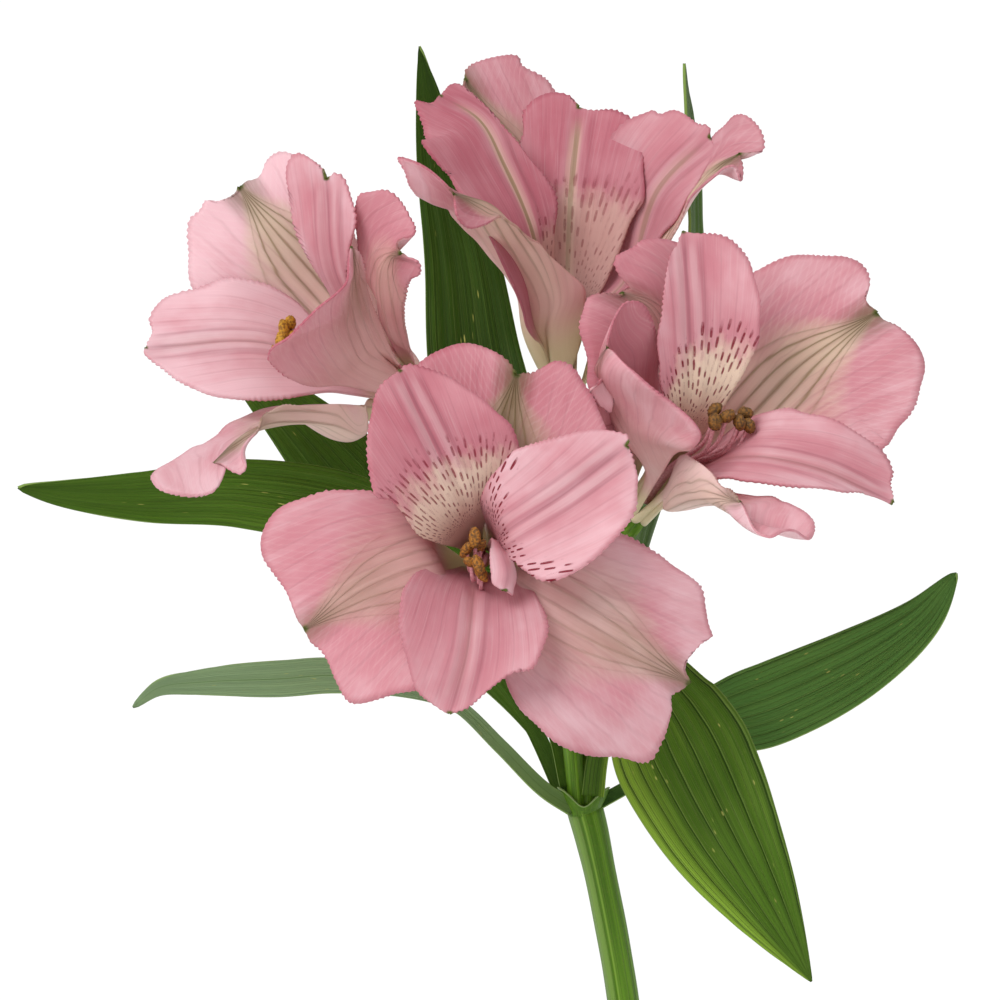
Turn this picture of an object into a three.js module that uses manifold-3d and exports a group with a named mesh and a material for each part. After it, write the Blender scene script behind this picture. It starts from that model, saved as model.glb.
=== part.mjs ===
// A potted Peruvian lily: one flowering stem with four pink blooms over a whorl of leaves,
// and three young leafy shoots, standing in soil in a plain clay pot.
// Millimetres, +Z up, origin at the centre of the pot's foot.
import * as THREE from "three";
import { mergeVertices } from "three/addons/utils/BufferGeometryUtils.js";
import Module from "manifold-3d";

const wasm = await Module();
wasm.setup();

// Driving dimensions
const POT_HEIGHT = 108;
const POT_FOOT_RADIUS = 40;
const POT_MOUTH_RADIUS = 58;
const POT_WALL = 4.5;
const POT_FLOOR = 6;
const RIM_HEIGHT = 22;
const RIM_PROUD = 3.5;
const DRAIN_RADIUS = 4;
const DRAIN_REACH = 20;
const SOIL_BELOW_MOUTH = 12;
const SEAT_GAP = 0.3;
const NODE_HEIGHT = 240; // where the flower stalks and the leaf whorl leave the stem
const NODE_OFFSET = -14; // the stem leans, so its top node is beside the pot's axis
const HEAD_LEAN = THREE.MathUtils.degToRad(15); // the head leans back from the viewer
const STEM_RADIUS = 2.6;
const STALK_RADIUS = 1.35;
const OVARY_RADIUS = 2.7;
const OVARY_LENGTH = 8;
const OVARY_GROOVE = 0.14;
const FILAMENT_RADIUS = 0.45;
const ANTHER = [0.9, 0.9, 1.5];
const DISC_RADIUS = 1;
const ROOT_DEPTH = 26;
const SHOOT_DEPTH = 16;
const BLADE_THICKNESS = 0.65;
const LEAF_THICKNESS = 0.8;
const TUBE_LENGTH = 11; // of the narrow tube that the six tepals' claws form
const CUP_RADIUS = 3;
const CUP_DEPTH = 0.6;
const CUP_HEIGHT = 2.4;
const LEAF_TIP = 0.06; // the blunt tip's share of a leaf's half width
const SMOOTHING = 0.01; // edges shorter than this are taken up by their neighbours

const vec = (p) => new THREE.Vector3(...p);
const mix = THREE.MathUtils.lerp;
const rad = THREE.MathUtils.degToRad;

// Booleans

function toSolid(geometry) {
  const plain = geometry.clone();
  plain.deleteAttribute("normal");
  plain.deleteAttribute("uv");
  const merged = mergeVertices(plain, 1e-4);
  return new wasm.Manifold(
    new wasm.Mesh({
      numProp: 3,
      vertProperties: merged.attributes.position.array,
      triVerts: new Uint32Array(merged.index.array),
    }),
  );
}

function toGeometry(solid) {
  const mesh = solid.getMesh();
  return new THREE.BufferGeometry()
    .setAttribute("position", new THREE.BufferAttribute(mesh.vertProperties, 3))
    .setIndex(new THREE.BufferAttribute(mesh.triVerts, 1));
}

const joined = (solids) => solids.reduce((whole, piece) => whole.add(piece));

// The largest connected body of a solid, so that no loose scrap stays
function mainBody(solid) {
  return solid.decompose().reduce((a, b) => (a.volume() > b.volume() ? a : b));
}

// Ribs: a smooth line through points, with a frame that turns as little as it can

const RIB_STEPS = 48;
const TEPAL_ROWS = 7;

function ribThrough(points, firstNormal) {
  const curve = new THREE.CatmullRomCurve3(points, false, "centripetal");
  const places = curve.getSpacedPoints(RIB_STEPS);
  const tangents = places.map((p, i) => {
    const next = places[Math.min(i + 1, RIB_STEPS)];
    const last = places[Math.max(i - 1, 0)];
    return next.clone().sub(last).normalize();
  });
  let normal = firstNormal.clone();
  const normals = tangents.map((t) => {
    normal = normal.clone().addScaledVector(t, -normal.dot(t)).normalize();
    return normal;
  });
  return { length: curve.getLength(), places, tangents, normals };
}

// The place and frame at a share of the rib's length; past its end the rib runs on straight
function ribAt(rib, share, turn) {
  const at = Math.max(share, 0) * RIB_STEPS;
  const i = Math.min(Math.floor(at), RIB_STEPS - 1);
  const f = at - i;
  const place = rib.places[i].clone().lerp(rib.places[i + 1], f);
  const turned = Math.min(f, 1);
  const along = rib.tangents[i].clone().lerp(rib.tangents[i + 1], turned).normalize();
  const face = rib.normals[i].clone().lerp(rib.normals[i + 1], turned);
  face.addScaledVector(along, -face.dot(along)).normalize();
  face.applyAxisAngle(along, turn);
  return { place, along, face, side: along.clone().cross(face) };
}

// A value that runs smoothly through a few knots spread evenly over 0 to 1
function through(knots, share) {
  const at = THREE.MathUtils.clamp(share, 0, 1) * (knots.length - 1);
  const i = Math.min(Math.floor(at), knots.length - 2);
  return mix(knots[i], knots[i + 1], THREE.MathUtils.smoothstep(at - i, 0, 1));
}

// A smooth line through a margin's points, from the claw's edge to the tip
function marginThrough(edge, claw, length) {
  const flat = [[0, claw], ...edge, [1, 0]].map(([along, across]) => {
    return new THREE.Vector3(across, along * length, 0);
  });
  const places = new THREE.CatmullRomCurve3(flat, false, "centripetal").getSpacedPoints(200);
  return (share) => {
    const at = share * 200;
    const i = Math.min(Math.floor(at), 199);
    const { x, y } = places[i].clone().lerp(places[i + 1], at - i);
    return { along: y / length, across: x };
  };
}

// The outline of a tepal whose margins have their own points: the margins up to the shoulders
// are its sides and the rest of them is its end, and the face is spread evenly between them
function edgedOutline(blade, u, v) {
  const margin = v < 0 ? blade.leftMargin : blade.rightMargin;
  const half = v < 0 ? blade.left : blade.right;
  const a = Math.abs(v);
  const side = margin(blade.shoulder * u);
  const end = margin(mix(1, blade.shoulder, a));
  const corner = margin(blade.shoulder);
  const claw = margin(0);
  const spread = (key, tip) => {
    const sides = mix(u * tip, side[key], a);
    const ends = mix(a * claw[key], end[key], u);
    return sides + ends - mix(mix(0, claw[key], a), mix(tip, corner[key], a), u);
  };
  return { along: spread("along", 1), across: (Math.sign(v) * spread("across", 0)) / half };
}

// A leaf's outline: a narrow stalk, a long lens and a blunt tip
function leafOutline(blade, u, v) {
  const lens = Math.sin(Math.PI * u ** blade.swell) ** blade.taper;
  const widened = lens * THREE.MathUtils.smoothstep(u, 0, blade.stalk);
  return { along: u, across: v * Math.max(widened, blade.claw * Math.sqrt(1 - u), LEAF_TIP) };
}

// A point of a tepal that is spread between its rib and two rails in space, its margins;
// each half bulges outward a little, and the narrow part more
function railedPoint(blade, rib, u, v) {
  const rail = v < 0 ? blade.leftLine : blade.rightLine;
  const a = Math.abs(v);
  const { place, face } = ribAt(rib, u, 0);
  const root = rib.places[0];
  const tip = rib.places[RIB_STEPS];
  const side = rail(blade.shoulder * u);
  const width = side.distanceTo(place);
  const sides = place.lerp(side, a);
  const ends = root.clone().lerp(rail(0), a).lerp(rail(mix(1, blade.shoulder, a)), u);
  const corners = root.clone().lerp(rail(0), a);
  corners.lerp(tip.clone().lerp(rail(blade.shoulder), a), u);
  const bow = blade.bow + 0.5 * (1 - THREE.MathUtils.smoothstep(u, 0.2, 0.5));
  return sides.add(ends).sub(corners).addScaledVector(face, -2 * a * (1 - a) * width * bow);
}

// A point of a blade's middle surface: u runs from root to tip and v from edge to edge
function bladePoint(blade, rib, u, v) {
  if (blade.leftLine) return railedPoint(blade, rib, u, v);
  const { along, across } = blade.outline(blade, u, v);
  const { place, face, side } = ribAt(rib, along, rad(through(blade.twist, along)));
  const half = v < 0 ? blade.left : blade.right;
  const cup = v > 0 && blade.cupRight ? blade.cupRight : blade.cup;
  const reach = across * half;
  const bend = rad(through(cup, along)) / half || 1e-6;
  const ripple = Math.sin(blade.waves * Math.PI * u + blade.phase + Math.sign(v));
  const lift = (1 - Math.cos(bend * reach)) / bend + blade.wave * v * v * u * ripple;
  return place.addScaledVector(side, Math.sin(bend * reach) / bend).addScaledVector(face, lift);
}

// A closed blade of even thickness over a grid; both faces are split alike
function bladeSolid(blade, rib, rows, columns, thickness) {
  const at = (i, j) => {
    const u = i / rows;
    const v = Math.sin((Math.PI / 2) * ((2 * j) / columns - 1));
    return bladePoint(blade, rib, u, v);
  };
  const step = 1e-3;
  const positions = [];
  for (const face of [0.5, -0.5]) {
    for (let i = 0; i <= rows; i++) {
      for (let j = 0; j <= columns; j++) {
        const p = at(i, j);
        const inI = Math.min(Math.max(i, step), rows - 0.02);
        const inJ = Math.min(Math.max(j, 0.02), columns - 0.02);
        const du = at(inI + 0.01, inJ).sub(at(inI - step, inJ));
        const dv = at(inI, inJ + 0.01).sub(at(inI, inJ - 0.01));
        const normal = du.cross(dv).normalize();
        p.addScaledVector(normal, face * thickness);
        positions.push(p.x, p.y, p.z);
      }
    }
  }
  const wide = columns + 1;
  const under = (rows + 1) * wide;
  const index = [];
  const quad = (a, b, c, d) => index.push(a, b, c, a, c, d);
  for (let i = 0; i < rows; i++) {
    for (let j = 0; j < columns; j++) {
      const a = i * wide + j;
      index.push(a, a + wide, a + 1, a + 1, a + wide, a + wide + 1);
      index.push(under + a, under + a + 1, under + a + wide);
      index.push(under + a + 1, under + a + wide + 1, under + a + wide);
    }
    const left = i * wide;
    const right = left + columns;
    quad(left, under + left, under + left + wide, left + wide);
    quad(right + wide, under + right + wide, under + right, right);
  }
  for (let j = 0; j < columns; j++) {
    const root = j;
    const tip = rows * wide + j;
    quad(root + 1, under + root + 1, under + root, root);
    quad(tip, under + tip, under + tip + 1, tip + 1);
  }
  const geometry = new THREE.BufferGeometry()
    .setAttribute("position", new THREE.Float32BufferAttribute(positions, 3))
    .setIndex(index);
  const solid = toSolid(geometry);
  return solid.volume() < 0 ? flipped(geometry) : solid;
}

function flipped(geometry) {
  const index = geometry.index.array;
  for (let i = 0; i < index.length; i += 3) {
    [index[i + 1], index[i + 2]] = [index[i + 2], index[i + 1]];
  }
  return toSolid(geometry);
}

// A closed round stalk along a line; radiusAt gives its radius by share of length and by side
function stalkSolid(points, radiusAt, sides, steps) {
  const curve = new THREE.CatmullRomCurve3(points, false, "centripetal");
  const frames = curve.computeFrenetFrames(steps);
  const geometry = new THREE.CylinderGeometry(1, 1, 1, sides, steps);
  const places = curve.getSpacedPoints(steps);
  const position = geometry.attributes.position;
  for (let i = 0; i < position.count; i++) {
    const share = position.getY(i) + 0.5;
    const k = Math.round(share * steps);
    const turn = Math.atan2(position.getZ(i), position.getX(i));
    const radius = radiusAt(share, Math.round((turn / (2 * Math.PI)) * sides));
    const p = places[k]
      .clone()
      .addScaledVector(frames.normals[k], position.getX(i) * radius)
      .addScaledVector(frames.binormals[k], -position.getZ(i) * radius);
    position.setXYZ(i, p.x, p.y, p.z);
  }
  const solid = toSolid(geometry);
  return solid.volume() < 0 ? flipped(mergeVertices(bare(geometry))) : solid;
}

function bare(geometry) {
  geometry.deleteAttribute("normal");
  geometry.deleteAttribute("uv");
  return geometry;
}

function ballSolid(place, radii, axis = new THREE.Vector3(0, 0, 1), sides = 7, rings = 5) {
  const geometry = new THREE.SphereGeometry(1, sides, rings);
  geometry.rotateX(Math.PI / 2);
  geometry.scale(...radii);
  const turn = new THREE.Quaternion().setFromUnitVectors(new THREE.Vector3(0, 0, 1), axis);
  geometry.applyQuaternion(turn);
  geometry.translate(place.x, place.y, place.z);
  return toSolid(geometry);
}

// Blooms. The head's frame has its origin at the stem's top node, x to the viewer's right,
// y away from the viewer and z up. A tepal's path leads its rib from the tube to its tip. Its
// two margins run through edge points, each the share of the length along and the distance
// across, or through rails of points in space where it stands edge-on.

const OUTER = {
  claw: 0.1, cup: [62, 26, 12, 4], twist: [0, 0], wave: 0.7, waves: 3, phase: 0,
  left: 17, right: 17, columns: 6, tube: 2.8, flare: 3.4, turn: 0, shoulder: 0.68, bow: 0.12,
};
const INNER = {
  claw: 0.13, cup: [70, 40, 20, 8], twist: [0, 0], wave: 0.4, waves: 2.5, phase: 1,
  left: 12, right: 12, columns: 4, tube: 1.7, flare: 1.4, turn: 0, shoulder: 0.78, bow: 0.12,
};

const BLOOMS = {
  front: {
    base: [-16, -17, 38], axis: [-0.06, -0.99, 0.1],
    tepals: [
      {
        ...OUTER,
        path: [[-24.5, -42, 38], [-34, -45, 34.5], [-44.5, -43, 27.5]],
        left: 15.5, right: 15.5,
        leftEdge: [
          [0.4, 7.3], [0.55, 11.9], [0.63, 16], [0.75, 18.4], [0.92, 15.9], [1, 13.8], [0.98, 4.2],
          [1, 2],
        ],
        rightEdge: [
          [0.25, 6.3], [0.49, 9.8], [0.81, 18.1], [0.95, 16.3], [0.98, 14.2], [0.98, 10.5],
        ],
      },
      {
        ...OUTER,
        path: [[-9, -42, 34], [3, -46, 27], [16.5, -42, 19]],
        left: 15.5,
        leftEdge: [
          [0.21, 4.9], [0.46, 11], [0.53, 13.1], [0.69, 15.1], [0.87, 14.1], [0.96, 9.7],
          [0.99, 8.3], [0.97, 5.9], [0.96, 1.8],
        ],
        rightEdge: [
          [0.28, 6.7], [0.46, 9.8], [0.58, 15.6], [0.72, 18.5], [1, 13.7], [1.01, 11.3], [1, 5.5],
          [0.97, 3.3],
        ],
      },
      {
        ...OUTER,
        path: [[-15, -37, 48], [-13, -37, 57.5], [-11, -34, 68]],
        left: 18, right: 15.5,
        leftEdge: [
          [0.16, 4.8], [0.28, 9.2], [0.48, 13.2], [0.58, 16.4], [0.81, 18.1], [0.95, 15.5],
          [1.07, 9.7], [1.08, 6.5],
        ],
        rightEdge: [[0.49, 11.6], [0.58, 15], [0.82, 16.2], [1.05, 9], [1.08, 5.5], [1.01, 2.4]],
      },
      {
        ...INNER,
        path: [[-19.5, -43, 48], [-24, -45, 57.5], [-29.5, -42, 68.5]],
        turn: 20, left: 13.5, right: 11.5,
        leftEdge: [[0.22, 1.8], [0.47, 6.8], [0.57, 10.8], [0.66, 11.9], [0.69, 14.5], [0.96, 4.9]],
        rightEdge: [[0.29, 3.6], [0.47, 6.5], [0.62, 11.5], [0.82, 9.9], [1, 1.9]],
      },
      {
        ...INNER,
        path: [[-12, -47, 43.5], [-3.5, -50, 49], [6.5, -48, 56.5]],
        turn: -14, left: 11.5, right: 14,
        leftEdge: [[0.22, 4.9], [0.45, 6.9], [0.64, 9.2], [0.72, 10.1], [0.98, 4], [1.01, 0.7]],
        rightEdge: [[0.54, 4.8], [0.65, 11.8], [0.8, 11.3], [0.95, 5.5]],
      },
      {
        ...INNER,
        path: [[-18, -47, 32], [-19, -54, 23.5], [-21.5, -53, 14.5]],
        turn: -6, right: 11.5,
        leftEdge: [[0.17, 2.4], [0.63, 11.4], [0.81, 11.2], [0.84, 7.6], [0.95, 3]],
        rightEdge: [[0.37, 4.9], [0.69, 11.9], [0.95, 6.1], [1, 1.5]],
      },
    ],
  },
  right: {
    base: [9, 9, 46.5], axis: [0.424, -0.672, 0.607],
    tepals: [
      {
        ...OUTER,
        path: [[25.5, -2, 60], [35.5, 2, 70], [48, 5, 78.5]],
        left: 18, right: 18.5,
        leftEdge: [
          [0.16, 3.2], [0.3, 6.5], [0.62, 13], [0.77, 17.3], [0.95, 14.5], [1.05, 9.1], [1.03, 4.7],
          [1, 2.9],
        ],
        rightEdge: [
          [0.42, 7.9], [0.52, 16.5], [0.61, 21.2], [0.94, 15.9], [1.03, 8.9], [1.02, 3.7], [1, 1.8],
        ],
      },
      {
        ...OUTER,
        path: [[13, -6, 46.6], [17.2, -20, 48], [20.9, -29, 48.2], [24.7, -35, 47.6]],
        left: 14, right: 13,
        leftRail: [
          [16.2, -6, 49.6], [20.9, -10, 50.2], [25, -16, 49], [29.1, -22, 48.1], [32.7, -28, 47.6],
          [35.7, -33, 45.8], [36.5, -37, 43.1], [35.5, -40, 41.9], [33.3, -42, 43.2],
          [31.6, -43, 43.2], [29.3, -44, 42.1], [27.2, -43, 42.9], [25.7, -40, 45.4], [25, -37, 47],
        ],
        rightRail: [
          [13.3, -2, 50], [15.5, -13, 55.1], [18.1, -21, 53.6], [21.3, -28, 50.6],
          [23.5, -33, 48.8],
        ],
      },
      {
        ...OUTER,
        path: [[9.5, 2, 62.5], [12.5, -4, 74], [10.5, -7, 79], [6, -9, 81.5]],
        left: 23, right: 15,
        leftEdge: [[0.11, 3.9], [0.59, 23.1], [1.01, 19.2], [1.05, 15.5], [1.13, 4], [1, 0.7]],
        rightEdge: [
          [0.16, 2], [0.33, 7.3], [0.56, 12.3], [0.66, 15.2], [0.84, 14.6], [1.05, 5.8],
          [1.02, 3.3], [0.96, 2],
        ],
      },
      {
        ...INNER,
        path: [[17, -9, 64], [17, -11, 77], [16, -8, 91.5]],
        turn: -22, left: 6.5, right: 13,
        leftEdge: [[0.46, 4.5], [0.59, 5.7], [0.93, 2.6], [0.96, 1.2]],
        rightEdge: [[0.48, 5.7], [0.69, 11.1], [0.8, 11.4], [0.96, 7.4]],
      },
      {
        ...INNER,
        path: [[5.8, -6, 58.2], [2.7, -11, 64.1], [1.9, -16, 68.7], [3.7, -20, 72.4]],
        turn: 22, left: 16, right: 14,
        leftRail: [
          [12.8, -8, 52.6], [14.9, -18, 55.7], [17.3, -23, 56.4], [18.4, -25, 58.2],
          [17.1, -26, 60.6], [14.6, -26, 62.9], [12.1, -26, 64.8], [9.9, -26, 66.5],
          [7.2, -25, 68.9], [5, -22, 71.3],
        ],
        rightRail: [
          [13.4, 4, 56.5], [13.6, -1, 62.5], [12.4, -5, 67.2], [11.7, -9, 71.8], [11, -12, 75.6],
          [9.2, -15, 79.1], [6.7, -17, 79.3], [5, -19, 76.8], [4, -20, 74],
        ],
      },
      {
        ...INNER,
        path: [[26.5, -18, 55], [37.5, -22, 53], [49.5, -20, 47.5]],
        left: 11.5, right: 9, cupRight: [70, 20, -10, -10],
        leftEdge: [[0.46, 9.4], [0.69, 11.2], [0.94, 9.6], [0.98, 6.8], [0.98, 3.8]],
        rightEdge: [[0.56, 6.3], [0.61, 7], [0.74, 5.6], [0.95, 0.4]],
      },
    ],
  },
  left: {
    base: [-27.5, 9, 64.5], axis: [-0.56, -0.69, 0.46],
    tepals: [
      {
        ...OUTER,
        path: [[-41.5, 2, 82], [-49.5, -1, 91], [-56, 1, 99]],
        left: 16, right: 13,
        leftEdge: [
          [0.19, 3.6], [0.58, 14.2], [0.81, 16.1], [1.02, 9.9], [1.03, 7.6], [1.05, 5.8],
          [1.02, 4.3], [0.99, 1],
        ],
        rightEdge: [[0.41, 6.2], [0.66, 10.5], [0.84, 11.4], [0.99, 9.3], [1.01, 6.3], [0.98, 3.2]],
      },
      {
        ...OUTER,
        path: [[-31, -4, 74], [-33, -12, 83.5], [-31.5, -17, 87], [-29.5, -20, 87.5]],
        left: 15, right: 12,
        leftRail: [
          [-29.7, 4, 70.3], [-31.6, 0, 74.2], [-33.1, -2, 77.7], [-33.9, -4, 81.2],
          [-35.4, -6, 83.3], [-36.7, -8, 86.8], [-36.9, -10, 91.1], [-37, -12, 95],
          [-36.3, -13, 97.6], [-34.4, -14, 98.1], [-32.1, -15, 97.9], [-30.1, -16, 96.6],
          [-28.5, -17, 94.4], [-27.7, -18, 92], [-28.2, -19, 90.3], [-30.1, -20, 89.4],
          [-30.3, -20, 88.6],
        ],
        rightRail: [
          [-27.4, 0, 69.8], [-28.7, -6, 74.5], [-29.4, -11, 78.4], [-29.3, -15, 81.8],
          [-28.5, -18, 83.5], [-26.8, -21, 84.3], [-26.8, -22, 85.8], [-27.9, -22, 86.6],
        ],
      },
      {
        ...OUTER,
        path: [
          [-35.4, -1, 58.9], [-40.5, -8, 60.1], [-46.1, -16, 60.6], [-51.1, -24, 60.1],
          [-55.7, -30, 57.4], [-59.3, -32, 53.8],
        ],
        left: 10, right: 12,
        leftRail: [
          [-29.7, 4, 62.4], [-38.4, -4, 63.5], [-45.3, -13, 63.1], [-50.3, -21, 62.4],
          [-51.6, -25, 61.2], [-52.5, -28, 59.2], [-53.8, -31, 57.6], [-54.6, -34, 55.9],
          [-54.5, -36, 54.5], [-54, -37, 53.2], [-54.8, -37, 52.3], [-56.4, -36, 52.8],
          [-58, -34, 53.7],
        ],
        rightRail: [
          [-34.2, 10, 63.2], [-43, 6, 63.4], [-49.9, -2, 63], [-54.1, -9, 61.7], [-57, -15, 59.9],
          [-60.3, -21, 57.7], [-63.6, -26, 55.5], [-66.1, -30, 53.8], [-68.2, -33, 52.5],
          [-68.8, -36, 51.2], [-68, -38, 49.8], [-65.4, -39, 48.9], [-61.5, -39, 48.8],
          [-58.9, -38, 49.9], [-58.3, -35, 51.6], [-58.8, -33, 53],
        ],
      },
      {
        ...INNER,
        path: [[-41.5, -12, 100]],
        turn: 10, left: 9, right: 9.5,
        leftEdge: [[0.62, 3.3], [0.93, 7], [1.08, 5.8], [1.09, 4], [1.03, 0.2]],
        rightEdge: [[0.22, 2.5], [0.63, 2.1], [0.74, 3.3], [0.86, 5.2], [1, 2.3]],
      },
      {
        ...INNER,
        path: [[-34.5, -13, 74], [-37, -21, 81.5], [-37.4, -26, 88.5]],
        turn: -16, left: 7, right: 16.5,
        leftRail: [
          [-30.3, -2, 70.2], [-32.6, -8, 75.4], [-34.1, -14, 79.6], [-35.2, -19, 83.9],
          [-35.9, -24, 87.2],
        ],
        rightRail: [
          [-34, -6, 65.5], [-40, -14, 66.6], [-44.2, -20, 66.3], [-46.8, -24, 67.2],
          [-49.3, -27, 69], [-50.7, -29, 70.7], [-49.9, -31, 72.4], [-47.8, -32, 73.7],
          [-45.7, -32, 75.7], [-42.7, -32, 78.6], [-39.9, -31, 80.8], [-38.1, -30, 82.8],
          [-37.7, -28, 86.3],
        ],
      },
      {
        ...INNER,
        path: [[-71, -7, 72.5]],
        turn: 8, left: 12.5, cup: [70, 15, -5, 0], cupRight: [70, 40, 20, 8],
        leftEdge: [[0.37, 7.5], [0.57, 12.1], [0.76, 12.1], [1, 1.4]],
        rightEdge: [
          [0.16, 3.2], [0.42, 7.5], [0.5, 9.9], [0.62, 11.7], [0.81, 11.1], [0.93, 10.6],
          [0.97, 6.9], [0.97, 4],
        ],
      },
    ],
  },
  top: {
    base: [-3, 24, 67], axis: [0, -0.34, 0.94],
    tepals: [
      {
        ...OUTER,
        path: [[-10, 30, 99], [-19.5, 35, 118]],
        left: 5.5,
        leftEdge: [[0.53, 9], [0.67, 8.1], [0.78, 7.3], [0.94, 3.2]],
        rightEdge: [
          [0.2, 1.1], [0.69, 12.7], [0.88, 14.2], [0.99, 11.7], [1.02, 11.8], [1.04, 3.8],
        ],
      },
      {
        ...OUTER,
        path: [[-5.5, 12, 81], [-10.5, 2, 90.5], [-15, -12, 95.5], [-21, -22, 97]],
        left: 14, right: 14,
        leftRail: [
          [0, 20, 75.5], [0.3, 18, 80.2], [0.2, 16, 82.8], [-2.4, 13, 85.3], [-5.2, 9, 87.7],
          [-7.5, 4, 89.9], [-9.9, -1, 91.7], [-12.2, -8, 93.1], [-14.1, -13, 93.5],
          [-16.4, -18, 92.3], [-18.9, -22, 91.9], [-20.4, -24, 93.5], [-20.8, -24, 95.6],
        ],
        rightRail: [
          [-9.8, 21, 76.5], [-10.7, 18, 81.6], [-12.9, 14, 85.3], [-15.8, 9, 88.4],
          [-19.1, 3, 92.5], [-21.9, -4, 95.4], [-24.2, -10, 96.9], [-26.5, -15, 96.5],
          [-27.9, -19, 97.8], [-28.3, -22, 100], [-29.8, -24, 102.6], [-27.8, -24, 102.2],
          [-25.5, -24, 101.1], [-22.5, -23, 98.6],
        ],
      },
      {
        ...OUTER,
        path: [[7.5, 16, 81.5], [15, 12, 94], [21, 8, 102], [25.5, 6, 104.5]],
        left: 15, right: 14,
        leftRail: [
          [5.8, 24, 80.3], [10.4, 22, 87.8], [13.7, 20, 93.4], [16.5, 18, 99], [18.8, 16, 103.2],
          [21.1, 14, 107.1], [23.4, 12, 109.1], [25.2, 10, 110.8], [27, 8, 110.7], [28.5, 7, 108.9],
          [29.3, 6, 106.3], [28.9, 6, 104.8], [27.1, 6, 104.5],
        ],
        rightRail: [
          [6.6, 14, 79.7], [11.2, 9, 86.1], [15.3, 5, 93], [18.5, 3, 98.2], [20.4, 2, 100.4],
          [22.7, 2, 102.1], [24.5, 2, 102.2], [25.6, 2, 100], [26, 4, 102.3],
        ],
      },
      {
        ...INNER,
        path: [[-8.5, 12, 92.5], [-13, 15, 103], [-17, 18, 110.5], [-23.5, 20, 114.5]],
        turn: 20, left: 15, right: 8.5, twist: [0, -20, -35, -40],
        leftEdge: [
          [0.28, 10.6], [0.67, 13.3], [0.77, 15.5], [0.94, 11.2], [1, 7.2], [1.04, 4.6], [1, 3.2],
        ],
        rightEdge: [[0.46, 4.8], [0.58, 6.3], [0.74, 4.7], [0.85, 2.7], [0.99, 4.8], [1.01, 3.4]],
      },
      {
        ...INNER,
        path: [[-0.5, 28, 113]],
        left: 9.5,
        leftEdge: [[0.58, 5.6], [0.86, 9.1], [1.01, 7], [1.04, 1.7]],
        rightEdge: [[0.19, 2.3], [0.36, 6.7], [0.6, 11.4], [0.65, 12.5], [0.93, 9.9], [0.98, 6.5]],
      },
      {
        ...INNER,
        path: [[7, 19, 84], [12.5, 16, 99], [21, 14, 107.5]],
        turn: -16, left: 15, right: 9, twist: [0, 20, 40, 45],
        leftEdge: [
          [0.23, 2.6], [0.37, 7.6], [0.71, 13.7], [0.9, 12.3], [0.91, 10.5], [0.96, 8.7],
          [0.99, 3.1], [1.01, 1.7],
        ],
        rightEdge: [[0.29, 1], [0.44, 13.4], [0.53, 3.3], [0.62, 6], [0.72, 8.2], [0.96, 3]],
      },
    ],
  },
};

// The rib of a tepal: out of the tube along the bloom's axis, then over to its tip
function tepalRib(bloom, tepal) {
  const base = vec(bloom.base);
  const axis = vec(bloom.axis).normalize();
  const path = tepal.path.map(vec);
  const reach = path.at(-1).clone().sub(base);
  const height = reach.dot(axis);
  const outward = reach.addScaledVector(axis, -height);
  const radius = outward.length();
  outward.normalize();
  const at = (r, h) => base.clone().addScaledVector(outward, r).addScaledVector(axis, h);
  if (path.length === 1) path.unshift(at(radius * 0.42, height * 0.74));
  outward.applyAxisAngle(axis, rad(tepal.turn));
  const points = [at(tepal.tube, 0), at(tepal.tube + tepal.flare, TUBE_LENGTH), ...path];
  return ribThrough(points, outward.negate());
}

// A smooth line in space from the claw's edge through a rail's points to the tepal's tip
function railThrough(rail, rib, across) {
  const { place, side } = ribAt(rib, 0, 0);
  const start = place.addScaledVector(side, across);
  const points = [start, ...rail.map(vec), rib.places[RIB_STEPS]];
  const places = new THREE.CatmullRomCurve3(points, false, "centripetal").getSpacedPoints(200);
  return (share) => {
    const i = Math.min(Math.floor(share * 200), 199);
    return places[i].clone().lerp(places[i + 1], share * 200 - i);
  };
}

// The tepal with lines along its two rails
function railed(tepal, rib) {
  return {
    ...tepal,
    leftLine: railThrough(tepal.leftRail, rib, -tepal.claw * tepal.left),
    rightLine: railThrough(tepal.rightRail, rib, tepal.claw * tepal.right),
  };
}

// The tepal with lines through the points of its margins
function edged(tepal, rib) {
  const margin = (edge, half) => marginThrough(edge, tepal.claw * half, rib.length);
  return {
    ...tepal,
    outline: edgedOutline,
    leftMargin: margin(tepal.leftEdge, tepal.left),
    rightMargin: margin(tepal.rightEdge, tepal.right),
  };
}

function tepalsSolid(bloom) {
  const base = vec(bloom.base);
  const axis = vec(bloom.axis).normalize();
  const blades = bloom.tepals.map((tepal) => {
    const rib = tepalRib(bloom, tepal);
    const blade = tepal.leftRail ? railed(tepal, rib) : edged(tepal, rib);
    return bladeSolid(blade, rib, TEPAL_ROWS, tepal.columns, BLADE_THICKNESS);
  });
  const along = (h) => base.clone().addScaledVector(axis, h);
  const cup = stalkSolid([along(-CUP_DEPTH), along(CUP_HEIGHT)], () => CUP_RADIUS, 9, 1);
  return joined([cup, ...blades]);
}

const bloomSolids = Object.fromEntries(
  Object.entries(BLOOMS).map(([name, bloom]) => [name, tepalsSolid(bloom)]),
);

// Leaves of the whorl under the blooms

const LEAF = {
  outline: leafOutline, claw: 0.16, swell: 0.9, taper: 0.65, stalk: 0.45,
  cup: [50, 14, 10, 10], twist: [0, 0], wave: 0, waves: 2, phase: 0,
};

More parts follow.
